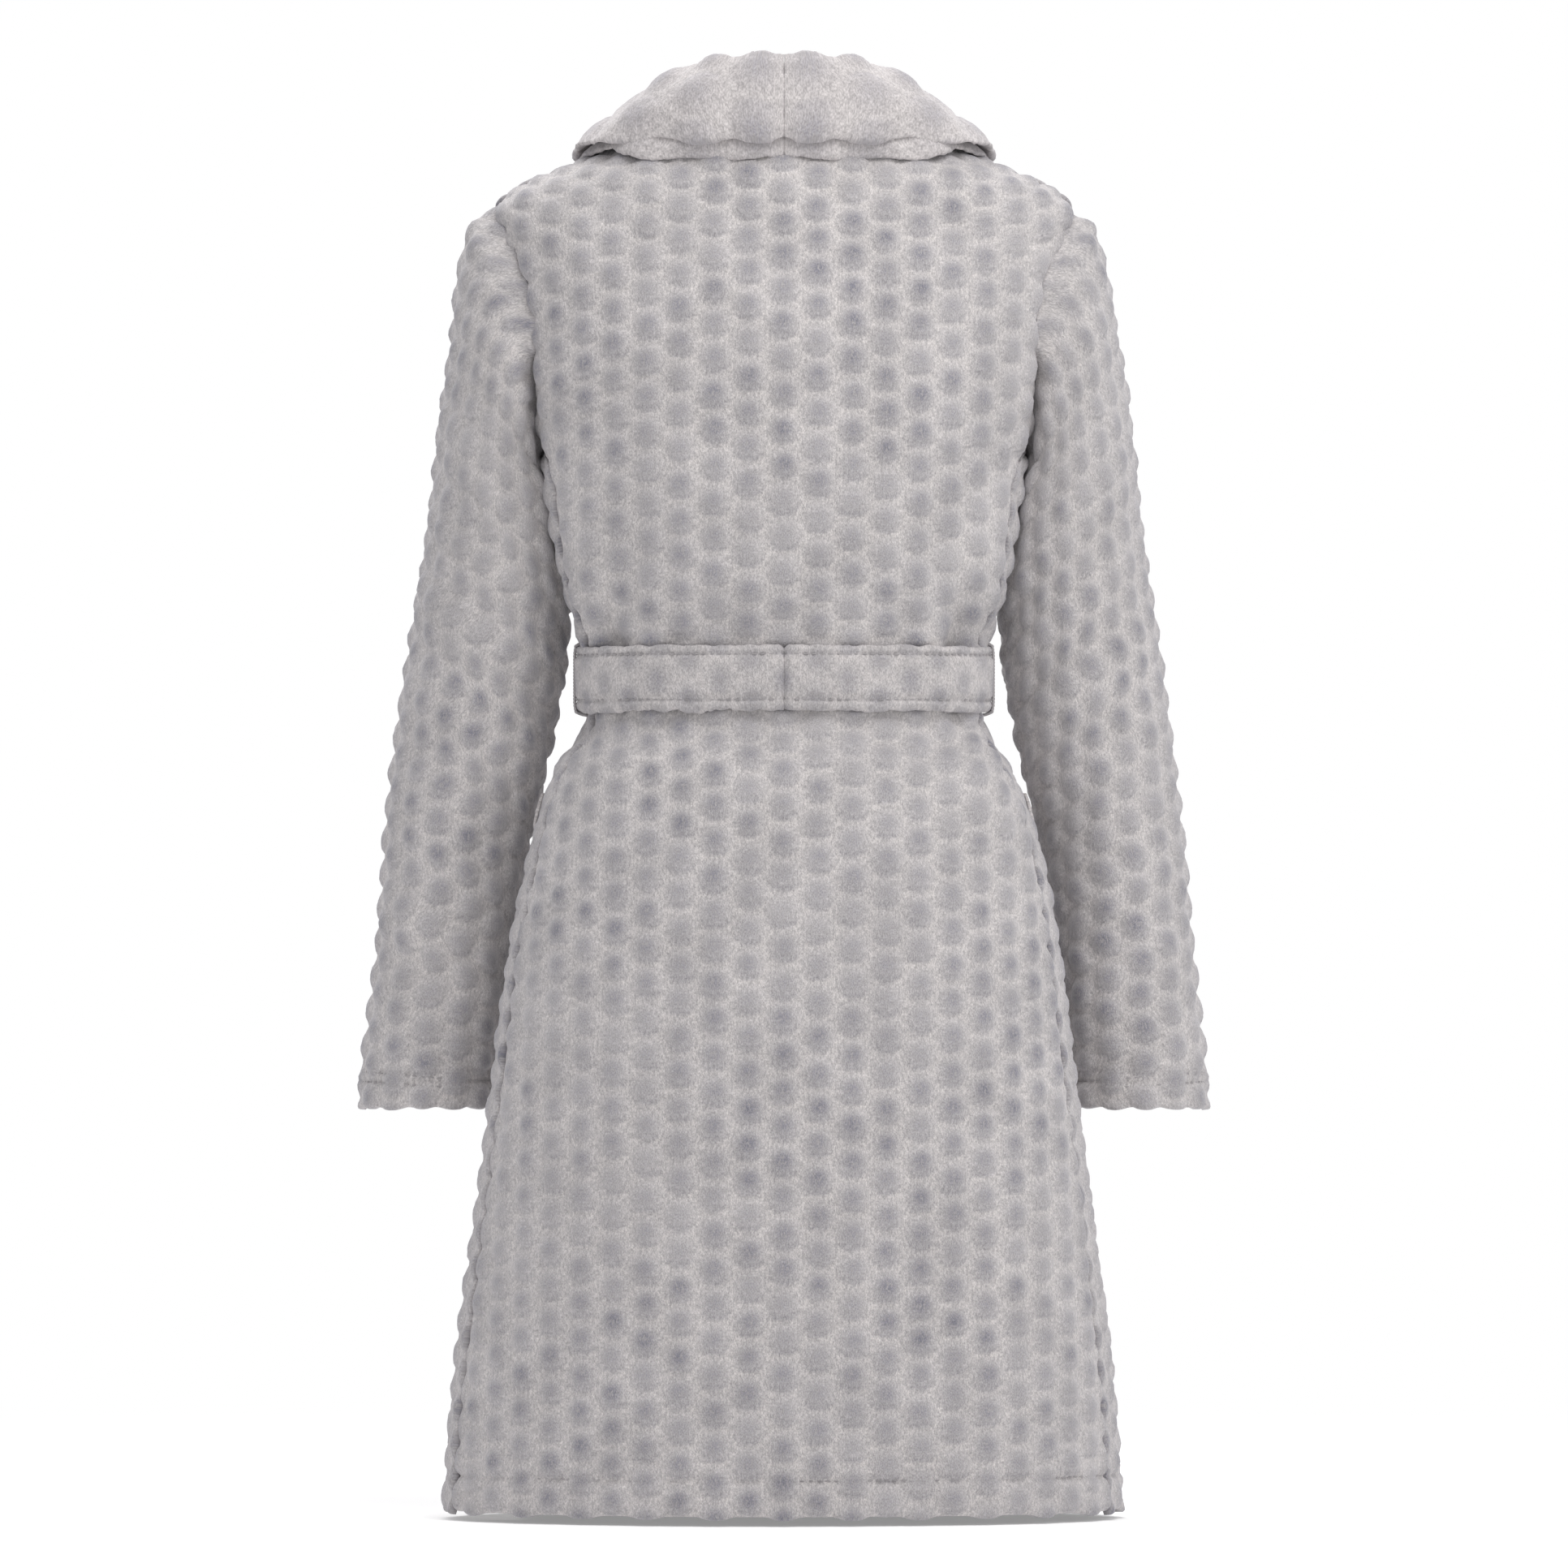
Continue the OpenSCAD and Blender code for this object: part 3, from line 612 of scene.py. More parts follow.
def build_left_front():
    """The inner front is flat where the outer front lies on it. Its side edge meets the back panel."""
    levels, low, _ = panel_edges("left_front_panel", 1, FRONT_MID, 8, 3 * MM)
    side_levels, _, high = panel_edges("right_front_panel", -1, FRONT_MID, 21)

    def flat(angle, z):
        inset = TORSO.radius(angle, z) - LEFT_FRONT.radius(angle, z)
        return 1 - 0.85 * smooth(2 * MM, 6 * MM, inset)

    side_edge = between(side_levels, high, SEAM_CLOSE)
    piece = torso_panel("left_front", LEFT_FRONT, between(levels, low), side_edge, 1, 12, flat=flat)
    placed(piece, "torso", "fleece", "left_front_panel")


def build_right_front():
    """The outer front is one panel, which also covers its loose lower corner."""
    levels, low, high = panel_edges("right_front_panel", -1, FRONT_MID, 21)
    flap_levels, flap_low, _ = panel_edges("right_front_flap", -1, FRONT_MID, 7)
    above = levels > flap_levels.max() + 5 * MM
    edge = between(np.concatenate([flap_levels, levels[above]]), np.concatenate([flap_low, low[above]]))
    side_edge = between(levels, high, SEAM_CLOSE)
    piece = torso_panel("right_front", TORSO, edge, side_edge, 1, 13, mirrored=True)
    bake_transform(piece)
    dressed(piece, "fleece", "right_front_panel", "right_front_flap")


# ---- sleeves ----


def level_points(node, side, z):
    """Points where a node's faces cross a level."""
    me = NODES[node].data
    co = corners(node, side)
    pairs = np.empty(len(me.edges) * 2, int)
    me.edges.foreach_get("vertices", pairs)
    a, b = co[pairs[::2]], co[pairs[1::2]]
    crossing = (a[:, 2] - z) * (b[:, 2] - z) < 0
    a, b = a[crossing], b[crossing]
    t = (z - a[:, 2]) / (b[:, 2] - a[:, 2])
    return a + (b - a) * t[:, None]


def cast(found, start, direction, side, reach=0.6):
    flip = np.array([side, 1, 1])
    hit = found.ray_cast(Vector(start * flip), Vector(np.array(direction) * flip), reach)
    return None if hit[0] is None else np.array(hit[0]) * flip


class Tube:
    """Smoothed rings of a sleeve, from the cuff up to the armhole, read from its CAD node. Ring point 0
    is at the inner seam."""

    RINGS = SPOKES = 64

    def __init__(self, node, side):
        heights = corners(node, side)[:, 2]
        found = tree(node)
        cuff, top = heights.min() + 0.6 * MM, heights.max() - 3 * MM
        grid = np.full((self.RINGS, self.SPOKES, 3), np.nan)
        for j, t in enumerate(np.arange(self.RINGS) / (self.RINGS - 1)):
            outer = max(level_points(node, side, cuff + (top - cuff) * t), key=lambda p: p[0])
            low = cuff + (UNDERARM_Z - 3 * MM - cuff) * t
            inner = min(level_points(node, side, low), key=lambda p: p[0])
            middle, width = (outer + inner) / 2, np.linalg.norm(outer - inner)
            front = cast(found, middle - [0, 0.3, 0], [0, 1, 0], side)
            rear = cast(found, middle + [0, 0.3, 0], [0, -1, 0], side)
            middle, ahead = (front + rear) / 2, (outer - inner) / width
            beyond = max(width / 2, 0.072) + 0.02
            for i in range(self.SPOKES):
                angle = math.tau * i / self.SPOKES
                away = -ahead * math.cos(angle) - np.array([0, 1, 0]) * math.sin(angle)
                hit = cast(found, middle + away * beyond, -away, side, beyond)
                if hit is not None:
                    grid[j, i] = hit
            known = np.isfinite(grid[j, :, 0])
            missed, kept = np.flatnonzero(~known), np.flatnonzero(known)
            for row in grid[j].T:
                row[missed] = np.interp(missed, kept, row[kept], period=self.SPOKES)
        wide = 8
        field = np.concatenate([grid[:, -wide:], grid, grid[:, :wide]], 1)
        for k in range(3):
            grid[..., k] = blurred(blurred(field[..., k], 1.3, 0), 1.8, 1)[:, wide:-wide]
        self.grid = grid

    def at(self, around, up):
        """Point at a share round the ring and a share up from the cuff. Past 1 it carries on straight."""
        wide = 3
        ring = np.concatenate([self.grid[:, -wide:], self.grid, self.grid[:, :wide]], 1)
        last = self.RINGS - 1
        past = np.maximum(up - 1, 0)[..., None]
        x = around * self.SPOKES + wide
        point = lambda y: np.stack([cubic(ring[..., k], y, x) for k in range(3)], -1)
        edge, before = point(np.full(up.shape, float(last))), point(np.full(up.shape, last - 1.0))
        return point(np.minimum(up, 1) * last) + past * last * (edge - before)


TUBES = {word: Tube(word + "_sleeve", side) for word, side in SIDES}


def body_x(y, z):
    """Side distance of the torso's face at a depth and a height."""
    x = np.full(y.shape, 0.18)
    for _ in range(6):
        r = TORSO.radius(np.arctan2(y - AXIS_Y, x), z)
        x = 0.5 * x + 0.5 * np.sqrt(np.maximum(r**2 - (y - AXIS_Y) ** 2, 0.0001))
    return x


def seated(points, around, up):
    """Lifts the sleeve's head, sets its top end into the body and pulls its inner side in."""
    outside = smooth(0.22, 0.46, 0.5 - np.abs(around - 0.5))
    points = points + 9 * MM * (outside * smooth(0.86, 0.965, up))[..., None] * [0.5, 0, 0.86]
    body = body_x(points[..., 1], points[..., 2]) - 3 * MM
    points[..., 0] += (np.minimum(body, points[..., 0]) - points[..., 0]) * smooth(0.982, 1.006, up)
    points = padded(points)
    inward = np.clip(-normals(points, wrap=True)[..., 0], 0, 1)
    level = points[..., 2]
    points[..., 0] -= 8 * MM * inward * smooth(0.62, 0.66, level) * smooth(0.75, 0.72, level)
    return points


def sleeve_folds(across, along, side):
    """Slow waves, drag lines below the armhole and creases inside the elbow."""
    drag = smooth(0.42, 0.60, along) * smooth(0.64, 0.56, along)
    waves = 1.8 * MM * wobble(across / 0.05 + 2, along / 0.13 + 7 * side, 21 + side)
    lines = 2.0 * MM * drag * np.sin((across * 0.9 - along) / 0.011) * bell(across + 0.10, 0.05)
    bend = bell(along - 0.30, 0.05) * bell(np.abs(across) - 0.13, 0.05)
    return waves + lines + 1.8 * MM * bend * np.sin((along + 0.35 * across) / 0.010)


def build_sleeve(word, side):
    """A sleeve that hangs from its armhole."""
    name = word + "_sleeve"
    cols = 2 * int(SLEEVE_GIRTH / FINE / 2)
    around, up = np.meshgrid(np.arange(cols) / cols, spread(SLEEVE_SPAN, FINE) * 1.015)
    points = seated(TUBES[word].at(around, up), around, up)
    across, along, girth = ring_lengths(points, cols // 2)
    points = points + normals(points, wrap=True) * sleeve_folds(across, along, side)[..., None]
    n = normals(points, wrap=True)
    raised, place = bubbles(across, along + 4 * MM, 15 if side > 0 else 16)
    from_seam = across - across[:, :1]
    groove = 2.2 * MM * bell(np.minimum(from_seam, girth - from_seam), 3.2 * MM)
    for level in CUFF_STITCH:
        groove = groove + 2.2 * MM * bell(along - level, 2.4 * MM) * puckered(across)
    drop = edge_roll(along, 3.5 * MM) + edge_roll(along.max(0)[None, :] - along)
    pile = lumps(across, along, 17, 0.5, 2.6, 3.6)
    face = points + n * (BUBBLE_H * raised + pile - groove - drop)[..., None]
    back = points - n * (FLEECE - 0.3 * drop)[..., None]
    for layer in (face, back):
        layer[..., 2] += scalloped(along, raised)
    piece = shell(name + "_fleece", face, back, fabric_fields(across, along, place), side < 0, ring=True)
    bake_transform(piece)
    dressed(piece, "fleece", name)


def build_cuff_turn(word, side):
    """The fleece turned up inside a cuff."""
    cols = 150
    around, up = np.meshgrid(np.arange(cols) / cols, spread(26 * MM, TRIM_STEP) * 0.040 + 0.002)
    points = TUBES[word].at(around, up)
    n = normals(points, wrap=True)
    across, along, _ = ring_lengths(points, 0)
    pile = lumps(across, along, 71, 0.35, 3, 4)
    drop = edge_roll(along, 1.2 * MM) + edge_roll(along.max() - along, 1.2 * MM)
    face = points - n * (FLEECE + 0.5 * MM + drop)[..., None]
    back = points - n * (FLEECE + 3.0 * MM + pile - drop)[..., None]
    fields = fabric_fields(across, along, no_bubbles(across))
    piece = shell(word + "_cuff_turn", face, back, fields, side < 0, ring=True)
    placed(piece, word + "_sleeve", "inner_fleece", word + "_cuff_fold")


# ---- bands, patches and tapes that lie on the robe ----


def outline(node, side, centre, bins, degree):
    """Side edges of a band as angles at a height, and its lowest and highest level."""
    co = corners(node, side)
    angle = turned(co, centre)
    low_z, high_z = co[:, 2].min(), co[:, 2].max()
    marks = np.linspace(low_z, high_z, bins + 1)
    rows = []
    for a, b in zip(marks[:-1], marks[1:]):
        here = angle[(co[:, 2] >= a - 1 * MM) & (co[:, 2] <= b + 1 * MM)]
        if len(here):
            rows.append(((a + b) / 2, here.min(), here.max()))
    middle, *edges = np.array(rows).T
    low, high = (np.poly1d(np.polyfit(middle, edge, degree)) for edge in edges)
    return low, high, low_z, high_z


def held_in(points, angle, surface):
    """Keeps the lining side of a turned hem inside the panel that it belongs to."""
    axis = np.array([0, AXIS_Y, 0])
    reach = np.hypot(points[..., 0], points[..., 1] - AXIS_Y)
    share = np.minimum(1, (surface.radius(angle, points[..., 2]) - FLEECE - 0.5 * MM) / reach)
    return axis + (points - axis) * np.stack([share, share, np.ones(share.shape)], -1)


def plain_relief(across, along, edge):
    return 0 * across, no_bubbles(across)


def short_pile(across, along, edge):
    return lumps(across, along, 31, 0.35, 3, 4), no_bubbles(across)


def pocket_relief(across, along, edge):
    raised, place = bubbles(across - across.max() / 2, along, 33)
    hem = 1.6 * MM * bell(edge - 7 * MM, 2 * MM) * puckered(across + along)
    puff = 1.6 * MM * smooth(0, 30 * MM, edge)
    return BUBBLE_H * 0.9 * raised * smooth(2 * MM, 10 * MM, edge) + puff - hem, place


def pocket_band_relief(across, along, edge):
    groove = 1.3 * MM * bell(along - 5 * MM, 1.6 * MM)
    rise = 1.6 * MM * smooth(0, 8 * MM, edge)
    return lumps(across, along, 34, 0.6, 2.4, 6) + rise - groove, no_bubbles(across)


def band(
    name, node, thick, relief=short_pile, slot="inner_fleece", body="torso",
    side=1, centre=FRONT_MID, bins=1, degree=0, under=None,
):
    """A closed strip of cloth on the surface of its CAD node. Its edges follow a polynomial of a degree,
    read at a number of bins of height. relief gives its height at (across, along, edge)."""
    low, high, low_z, high_z = outline(node, side, centre, bins, degree)
    marks = np.linspace(low_z, high_z, 9)
    span = (low(marks).min() - 0.02, high(marks).max() + 0.02)
    surface = Surface((node,), *span, side, (low_z, high_z), (1.2, 1.0)).fill()
    z = low_z + (high_z - low_z) * spread(high_z - low_z, TRIM_STEP)
    width = float(np.max((high(z) - low(z)) * surface.radius((low(z) + high(z)) / 2, z)))
    u = spread(width, TRIM_STEP)
    angle = low(z)[:, None] + (high(z) - low(z))[:, None] * u[None, :]
    box = corners(node, side)
    points = surface.at(angle, np.repeat(z[:, None], len(u), 1))
    points = np.clip(points, box.min(0), box.max(0))
    across, along = arc_lengths(points, 0)
    edge = np.minimum.reduce([across, across[:, -1:] - across, along, along[-1:] - along])
    if under is not None:
        points = held_in(points, angle, under)
    n = normals(points)
    lift, place = relief(across, along, edge)
    drop = edge_roll(edge, min(0.45 * thick, 2.4 * MM))
    face = points + n * (lift - drop)[..., None]
    back = points - n * (thick - 0.3 * drop)[..., None]
    piece = shell(name, face, back, fabric_fields(across, along, place), side < 0)
    placed(piece, body, slot, node)


def build_side_bands(word, side):
    pocket, strip, hem = word + "_pocket", word + "_shoulder", word + "_hem_turn"
    line = {"degree": 1, "side": side}
    band(pocket + "_fleece", pocket, 3.6 * MM, pocket_relief, "fleece", bins=8, **line)
    band(pocket + "_trim", pocket + "_band", 2.4 * MM, pocket_band_relief, "collar_fleece", bins=2, **line)
    band(strip + "_strip", strip + "_tape", 1.0 * MM, plain_relief, "tape", centre=0, bins=8, **line)
    band(hem, word + "_front_hem_fold", 2.2 * MM, side=side, under=LEFT_FRONT if side > 0 else TORSO)


def build_long_bands():
    curve = {"bins": 12, "degree": 3}
    band("back_hem_turn", "back_hem_fold", 2.6 * MM, centre=BACK)
    band("left_facing", "left_front_facing", 2.2 * MM, **curve)
    band("right_facing", "right_front_facing", 1.4 * MM, side=-1, body="front_flap", **curve)
    band("neck_strip", "neck_tape", 1.0 * MM, plain_relief, "tape", centre=BACK, bins=2)


# ---- closed sweeps: belt, knot, ends, loops and thread ----


def sweep(name, rings, fields, mirrored=False, closed=False):
    """A tube through rings of points, capped at both ends unless the path is closed."""
    rows, cols = rings.shape[:2]
    points = rings.reshape(-1, 3)
    values = {key: field.reshape(-1, 3) for key, field in fields.items()}
    faces = [*quads(rows, cols, 0, wrap=True)]
    around = [(i, (i + 1) % cols) for i in range(cols)]
    last, low, high = (rows - 1) * cols, rows * cols, rows * cols + 1
    if closed:
        faces += [(last + i, last + k, k, i) for i, k in around]
    else:
        points = np.concatenate([points, rings[[0, -1]].mean(1)])
        values = {key: np.concatenate([values[key], f[[0, -1]].mean(1)]) for key, f in fields.items()}
        faces += [(k, i, low) for i, k in around] + [(last + i, last + k, high) for i, k in around]
    if mirrored:
        points, faces = points * [-1, 1, 1], [f[::-1] for f in faces]
    return new_mesh(name, points, faces, values)


def section(count, half_width, half_thick, square):
    """Rounded flat section: (across, out) of each point, anticlockwise."""
    a = np.arange(count) * math.tau / count
    return half_width * power(np.cos(a), square), half_thick * power(np.sin(a), square)


def plush(across, along, seed):
    """Pile that lies along the cloth, with soft lumps."""
    return lumps(across, along, seed, 0.55, 2, 7) + lumps(across, along, seed + 1, 0.75, 9, 13)


def belt_fur(across, height, side):
    """How far the belt's edges wander, more on the lower edge of the left half."""
    deep = np.where(height < 0, 2.2 if side > 0 else 1.1, 1.2)
    row = np.where(height < 0, 0.5, 3.5)
    return deep * MM * (wobble(across / (10 * MM), row, 41) + 0.6 * wobble(across / (3.5 * MM), row, 42))


def belt_path(node, side):
    """Line along the middle of a belt half, from the knot to the centre back, and what is left of it."""
    angle = turned(corners(node, side))
    low = np.where(angle > math.radians(100), angle - math.tau, angle).min()
    surface = Surface((node,), low - 0.03, BACK + 0.06, side, (BELT_LOW, BELT_HIGH), (1.6, 0)).fill()
    middle = (BELT_LOW + BELT_HIGH) / 2
    marks = np.linspace(low, BACK, 400)
    run = lengths(surface.at(marks, np.full(len(marks), middle)))
    at = spread(run[-1], TRIM_STEP) * run[-1]
    return surface.at(np.interp(at, run, marks), np.full(len(at), middle)), run[-1] - at


def build_belt_half(word, side):
    """Half of the belt, padded between its two stitch rows and pinched at the centre-back seam."""
    node = f"belt_{word}_half"
    path, left = belt_path(node, side)
    ahead = unit(np.gradient(path, axis=0))
    out = np.stack([ahead[:, 1], -ahead[:, 0], 0 * ahead[:, 0]], -1)
    half_height, half_thick = BELT_HEIGHT / 2, 3.6 * MM
    o, h = section(64, half_thick, half_height, 0.42)
    s, o, h = np.broadcast_arrays(left[:, None], o, h)
    outer = smooth(-0.2, 0.4, o / half_thick)
    level = h + half_height
    groove = sum(2.0 * MM * bell(level - at, 1.9 * MM) for at in BELT_GROOVES)
    crown = 1.0 * MM * (1 - (h / half_height) ** 2)
    edge = np.abs(h / half_height) ** 6
    seam = 3.0 * MM * bell(s, 2.0 * MM)
    furry = plush(s, level, 43) * (0.4 + 0.6 * outer)
    o = o - half_thick + outer * (crown - groove + furry - seam)
    h = h + np.sign(h) * edge * (belt_fur(s, h, side) - 0.5 * seam) + 0.8 * MM * wobble(s / 0.05, 0 * s, 44)
    rings = path[:, None, :] + out[:, None, :] * o[..., None] + np.array([0, 0, 1]) * h[..., None]
    fields = spotted(s, level, 45, (0, 3 * MM), BELT_SPOTS)
    fields = {key: field[::-1] for key, field in fields.items()}
    piece = sweep(f"belt_{word}_band", rings[::-1], fields, side < 0)
    placed(piece, "belt", "belt_fleece", node)
    return path, out


def tube_along(name, path, width, thick, up, count, twist=0.0, lobes=0.0):
    """A cord along a path. up is across its width, and a twisted cord has three lobes."""
    ahead = unit(np.gradient(path, axis=0))
    side = unit(np.cross(up, ahead))
    lift = np.cross(ahead, side)
    run = lengths(path)
    a = np.arange(count) * math.tau / count
    bump = 1 + lobes * np.cos(3 * (a[None, :] - twist * run[:, None]))
    w, t = width / 2 * np.cos(a) * bump, thick / 2 * np.sin(a) * bump
    rings = path[:, None, :] + side[:, None, :] * w[..., None] + lift[:, None, :] * t[..., None]
    return sweep(name, rings, fabric_fields(w, run[:, None] + 0 * w, no_bubbles(w)))


def dashes(name, points, out):
    """Stitches along a path, each a short rounded thread that dips into the cloth at both ends."""
    run = lengths(points)
    around, steps = 6, 7
    a, t = np.arange(around) * math.tau / around, np.linspace(-1, 1, steps)
    size = THREAD / 2 * np.sqrt(np.clip(1 - 0.9 * t**6, 0, 1))
    rings, faces, fab = [], [], []
    for k in range(int(run[-1] / STITCH_PITCH)):
        at = (k + 0.5) * STITCH_PITCH + t / 2 * STITCH_LENGTH
        mid, away = (np.stack([np.interp(at, run, v[:, i]) for i in range(3)], -1) for v in (points, out))
        across = np.cross(unit(mid[-1] - mid[0]), away)
        mid = mid - away * (0.9 * THREAD * t**4)[:, None]
        turn = across[:, None] * np.cos(a)[None, :, None] + away[:, None] * np.sin(a)[None, :, None]
        rings.append(mid[:, None] + turn * size[:, None, None])
        fab.append(np.stack(np.broadcast_arrays(a[None, :] * THREAD, at[:, None], 0.0), -1))
        first = k * steps * around
        last = first + (steps - 1) * around
        faces += [*quads(steps, around, first, wrap=True)]
        faces += [range(first, first + around)[::-1], range(last, last + around)]
    points, values = (np.concatenate(part).reshape(-1, 3) for part in (rings, fab))
    return new_mesh(name, points, faces, {"fab": values})


# ---- knot, loose ends, loops and label ----


def build_knot_core(centre, size):
    """The puckered inside of the knot."""
    rows, cols = 61, 96
    rise = np.linspace(-0.985, 0.985, rows) * math.pi / 2
    v, a = np.meshgrid(rise, np.arange(cols) * math.tau / cols, indexing="ij")
    across, level = power(np.cos(a), 0.8) * np.cos(v) ** 0.6, power(np.sin(a), 0.8) * np.cos(v) ** 0.6
    ring = np.stack([size[0] * power(np.sin(v), 0.8), -size[1] * 0.86 * across, size[2] * 0.9 * level], -1)
    pucker = 1.3 * MM * np.sin(a * 5 + 2.2 * np.sin(v * 2)) * np.cos(v) * smooth(0.1, 0.9, np.abs(np.sin(v)))
    run, along = a * 0.022, v * 0.03
    lift = (pucker + plush(run, along, 51))[..., None]
    return sweep("knot_core", centre + ring + unit(ring) * lift, spotted(run, along, 46, (0, 0), KNOT_SPOTS))


def build_knot_wrap(centre, size):
    """One turn of the belt wrapped over the knot."""
    steps, count, lean = 150, 56, math.radians(24)
    t = np.arange(steps) * math.tau / steps
    long_way = np.array([math.sin(lean), 0, math.cos(lean)])
    wide_way = np.array([math.cos(lean), 0, -math.sin(lean)])
    rise, depth = size[2] * 0.98 * power(np.sin(t), 0.8), size[1] * 1.02 * power(np.cos(t), 0.8)
    path = centre + rise[:, None] * long_way - depth[:, None] * np.array([0, 1, 0])
    out = np.cross(unit(np.roll(path, -1, 0) - np.roll(path, 1, 0)), wide_way)
    w, h = section(count, 15 * MM, 2.8 * MM, 0.5)
    w = w * (1 - 0.22 * np.sin(t) ** 2)[:, None]
    s = (t * 0.022)[:, None] + 0 * w
    crinkle = 1.0 * MM * np.sin(w / (3.4 * MM) + 1.5 * np.sin(t)[:, None]) * (h > 0)
    h = h + np.sign(h) * plush(w + 0.2, s, 53) + crinkle
    rings = path[:, None] + wide_way * w[..., None] + out[:, None] * h[..., None]
    return sweep("knot_wrap", rings, spotted(w, s, 47, (12 * MM, 0), KNOT_SPOTS), closed=True)


def build_knot():
    low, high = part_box("belt_knot")
    centre, size = np.array((low + high) / 2), np.array((high - low) / 2)
    for build in (build_knot_core, build_knot_wrap):
        placed(build(centre, size), "belt", "belt_fleece", "belt_knot")


def build_belt_end(word, seed):
    """A loose end of the belt, whose top stays in the knot."""
    node = word + "_belt_end"
    low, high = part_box(node)
    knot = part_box("belt_knot")
    levels = np.linspace(low.z + 0.2 * (high.z - low.z), high.z - 0.2 * (high.z - low.z), 12)
    cuts = [level_points(node, 1, z) for z in levels]
    left = np.polyfit(levels, [c[:, 0].min() for c in cuts], 1)
    right = np.polyfit(levels, [c[:, 0].max() for c in cuts], 1)
    depth = np.polyfit(levels, [c[:, 1].mean() for c in cuts], 1)
    top, bottom = knot[0].z + 12 * MM, low.z + 3 * MM
    z = top + (bottom - top) * spread(top - bottom, 2.2 * MM)
    from_bottom, from_top = (z - bottom)[:, None], (top - z)[:, None]
    in_knot = smooth(high.z - 20 * MM, top, z)
    pull = (knot[0].x + knot[1].x) / 2
    middle = (np.polyval(left, z) + np.polyval(right, z)) / 2
    middle = middle + (pull - middle) * 0.7 * in_knot
    half = ((np.polyval(right, z) - np.polyval(left, z)) / 2 * (1 - 0.42 * in_knot))[:, None]
    y = np.polyval(depth, z) + 1.5 * MM * np.sin((z - bottom) / 0.035 + seed) * (1 - in_knot)
    w, h = section(60, 1.0, 3.0 * MM, 0.42)
    w = w * half
    run, level = from_top + 0 * w, w + half
    groove = 1.7 * MM * bell(np.minimum(level, 2 * half - level) - 7 * MM, 1.8 * MM)
    crown = 1.2 * MM * (1 - (w / half) ** 2)
    end = np.sqrt(np.clip(1 - (1 - np.clip(from_bottom / (5 * MM), 0, 1)) ** 2, 0.05, 1))
    hem = 1.5 * MM * bell(from_bottom - 11 * MM, 2.0 * MM)
    gather = 1.2 * MM * np.sin(level / (3.2 * MM)) * in_knot[:, None]
    thick = (plush(run, level, 61 + seed) + crown - groove - hem) * end + gather
    h = h * end + np.sign(h) * thick
    edge = np.abs(w / half) ** 6
    ragged = wobble(run / (9 * MM), 0 * run + seed, 63) + 0.5 * wobble(run / (4 * MM), 0 * run, 64)
    w = w + np.sign(w) * edge * 1.1 * MM * ragged
    curl = 2.5 * MM * smooth(60 * MM, 0, from_bottom) * (w / half) ** 2
    rings = np.stack([middle[:, None] + w, y[:, None] + h - curl, z[:, None] + 0 * w], -1)
    piece = sweep(node + "_fleece", rings, spotted(run, level, 48 + seed, (0, 3 * MM), BELT_SPOTS))
    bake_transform(piece)
    dressed(piece, "belt_fleece", node)


def build_belt_loop(word, side):
    """A twisted thread loop, pulled against the side seam above and below the belt."""
    node = word + "_belt_loop"
    co = corners(node, side)
    angle = turned(co)
    middle = (angle.min() + angle.max()) / 2
    low, high = co[:, 2].min(), co[:, 2].max()
    surface = Surface((node,), middle - 0.03, middle + 0.03, side, (low, high), (0.5, 0.4)).fill()
    z = np.linspace(low + 0.5 * MM, high - 0.5 * MM, 120)
    path = surface.at(np.full(len(z), middle), z) * [side, 1, 1]
    path[:, 2] = (low + high) / 2 + 0.78 * (path[:, 2] - (low + high) / 2)
    out = np.array([side * math.cos(middle), math.sin(middle), 0])
    from_end = np.minimum(z - low, high - z)
    tight = 2 * MM + 3.2 * MM * smooth(0, 9 * MM, from_end) + 5 * MM * smooth(6 * MM, 0, from_end)
    path = path - out * tight[:, None]
    piece = tube_along(node + "_cord", path, 3.6 * MM, 2.2 * MM, out, 18, math.tau / (7 * MM), 0.16)
    placed(piece, "torso", "thread", node)


def build_hanger_loop():
    low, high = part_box("hanger_loop")
    half_width = (high.x - low.x) / 2 - 2.4 * MM
    t = np.linspace(0, math.pi, 90)
    x = half_width * power(np.cos(t), 0.55)
    z = high.z - 1 * MM - (high.z - low.z - 3.4 * MM) * np.sin(t) ** 0.55
    path = np.stack([x, (low.y + high.y) / 2 + 0 * x, z], -1)
    piece = tube_along("hanger_strap", path, 4.6 * MM, 1.7 * MM, (0, 1, 0), 16)
    placed(piece, "hanger_loop", "tape", "hanger_loop")


def build_label():
    """A blank label, stitched down round its edge."""
    low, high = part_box("neck_label")
    x, z = np.meshgrid(np.linspace(low.x, high.x, 45), np.linspace(low.z, high.z, 31))
    edge = np.minimum.reduce([x - low.x, high.x - x, z - low.z, high.z - z])
    share_x, share_z = (x - low.x) / (high.x - low.x), (high.z - z) / (high.z - low.z)
    sag = 0.5 * MM * np.sin(share_x * math.tau) * share_z
    stitch = 0.25 * MM * bell(edge - 2.2 * MM, 0.8 * MM)
    y = low.y + sag + stitch + 0.3 * edge_roll(edge, 0.8 * MM)
    face, back = np.stack([x, y, z], -1), np.stack([x, y + 0.8 * MM, z], -1)
    piece = shell("blank_label", face, back, fabric_fields(x, z, no_bubbles(x)))
    placed(piece, "torso", "label", "neck_label")


# ---- collar ----


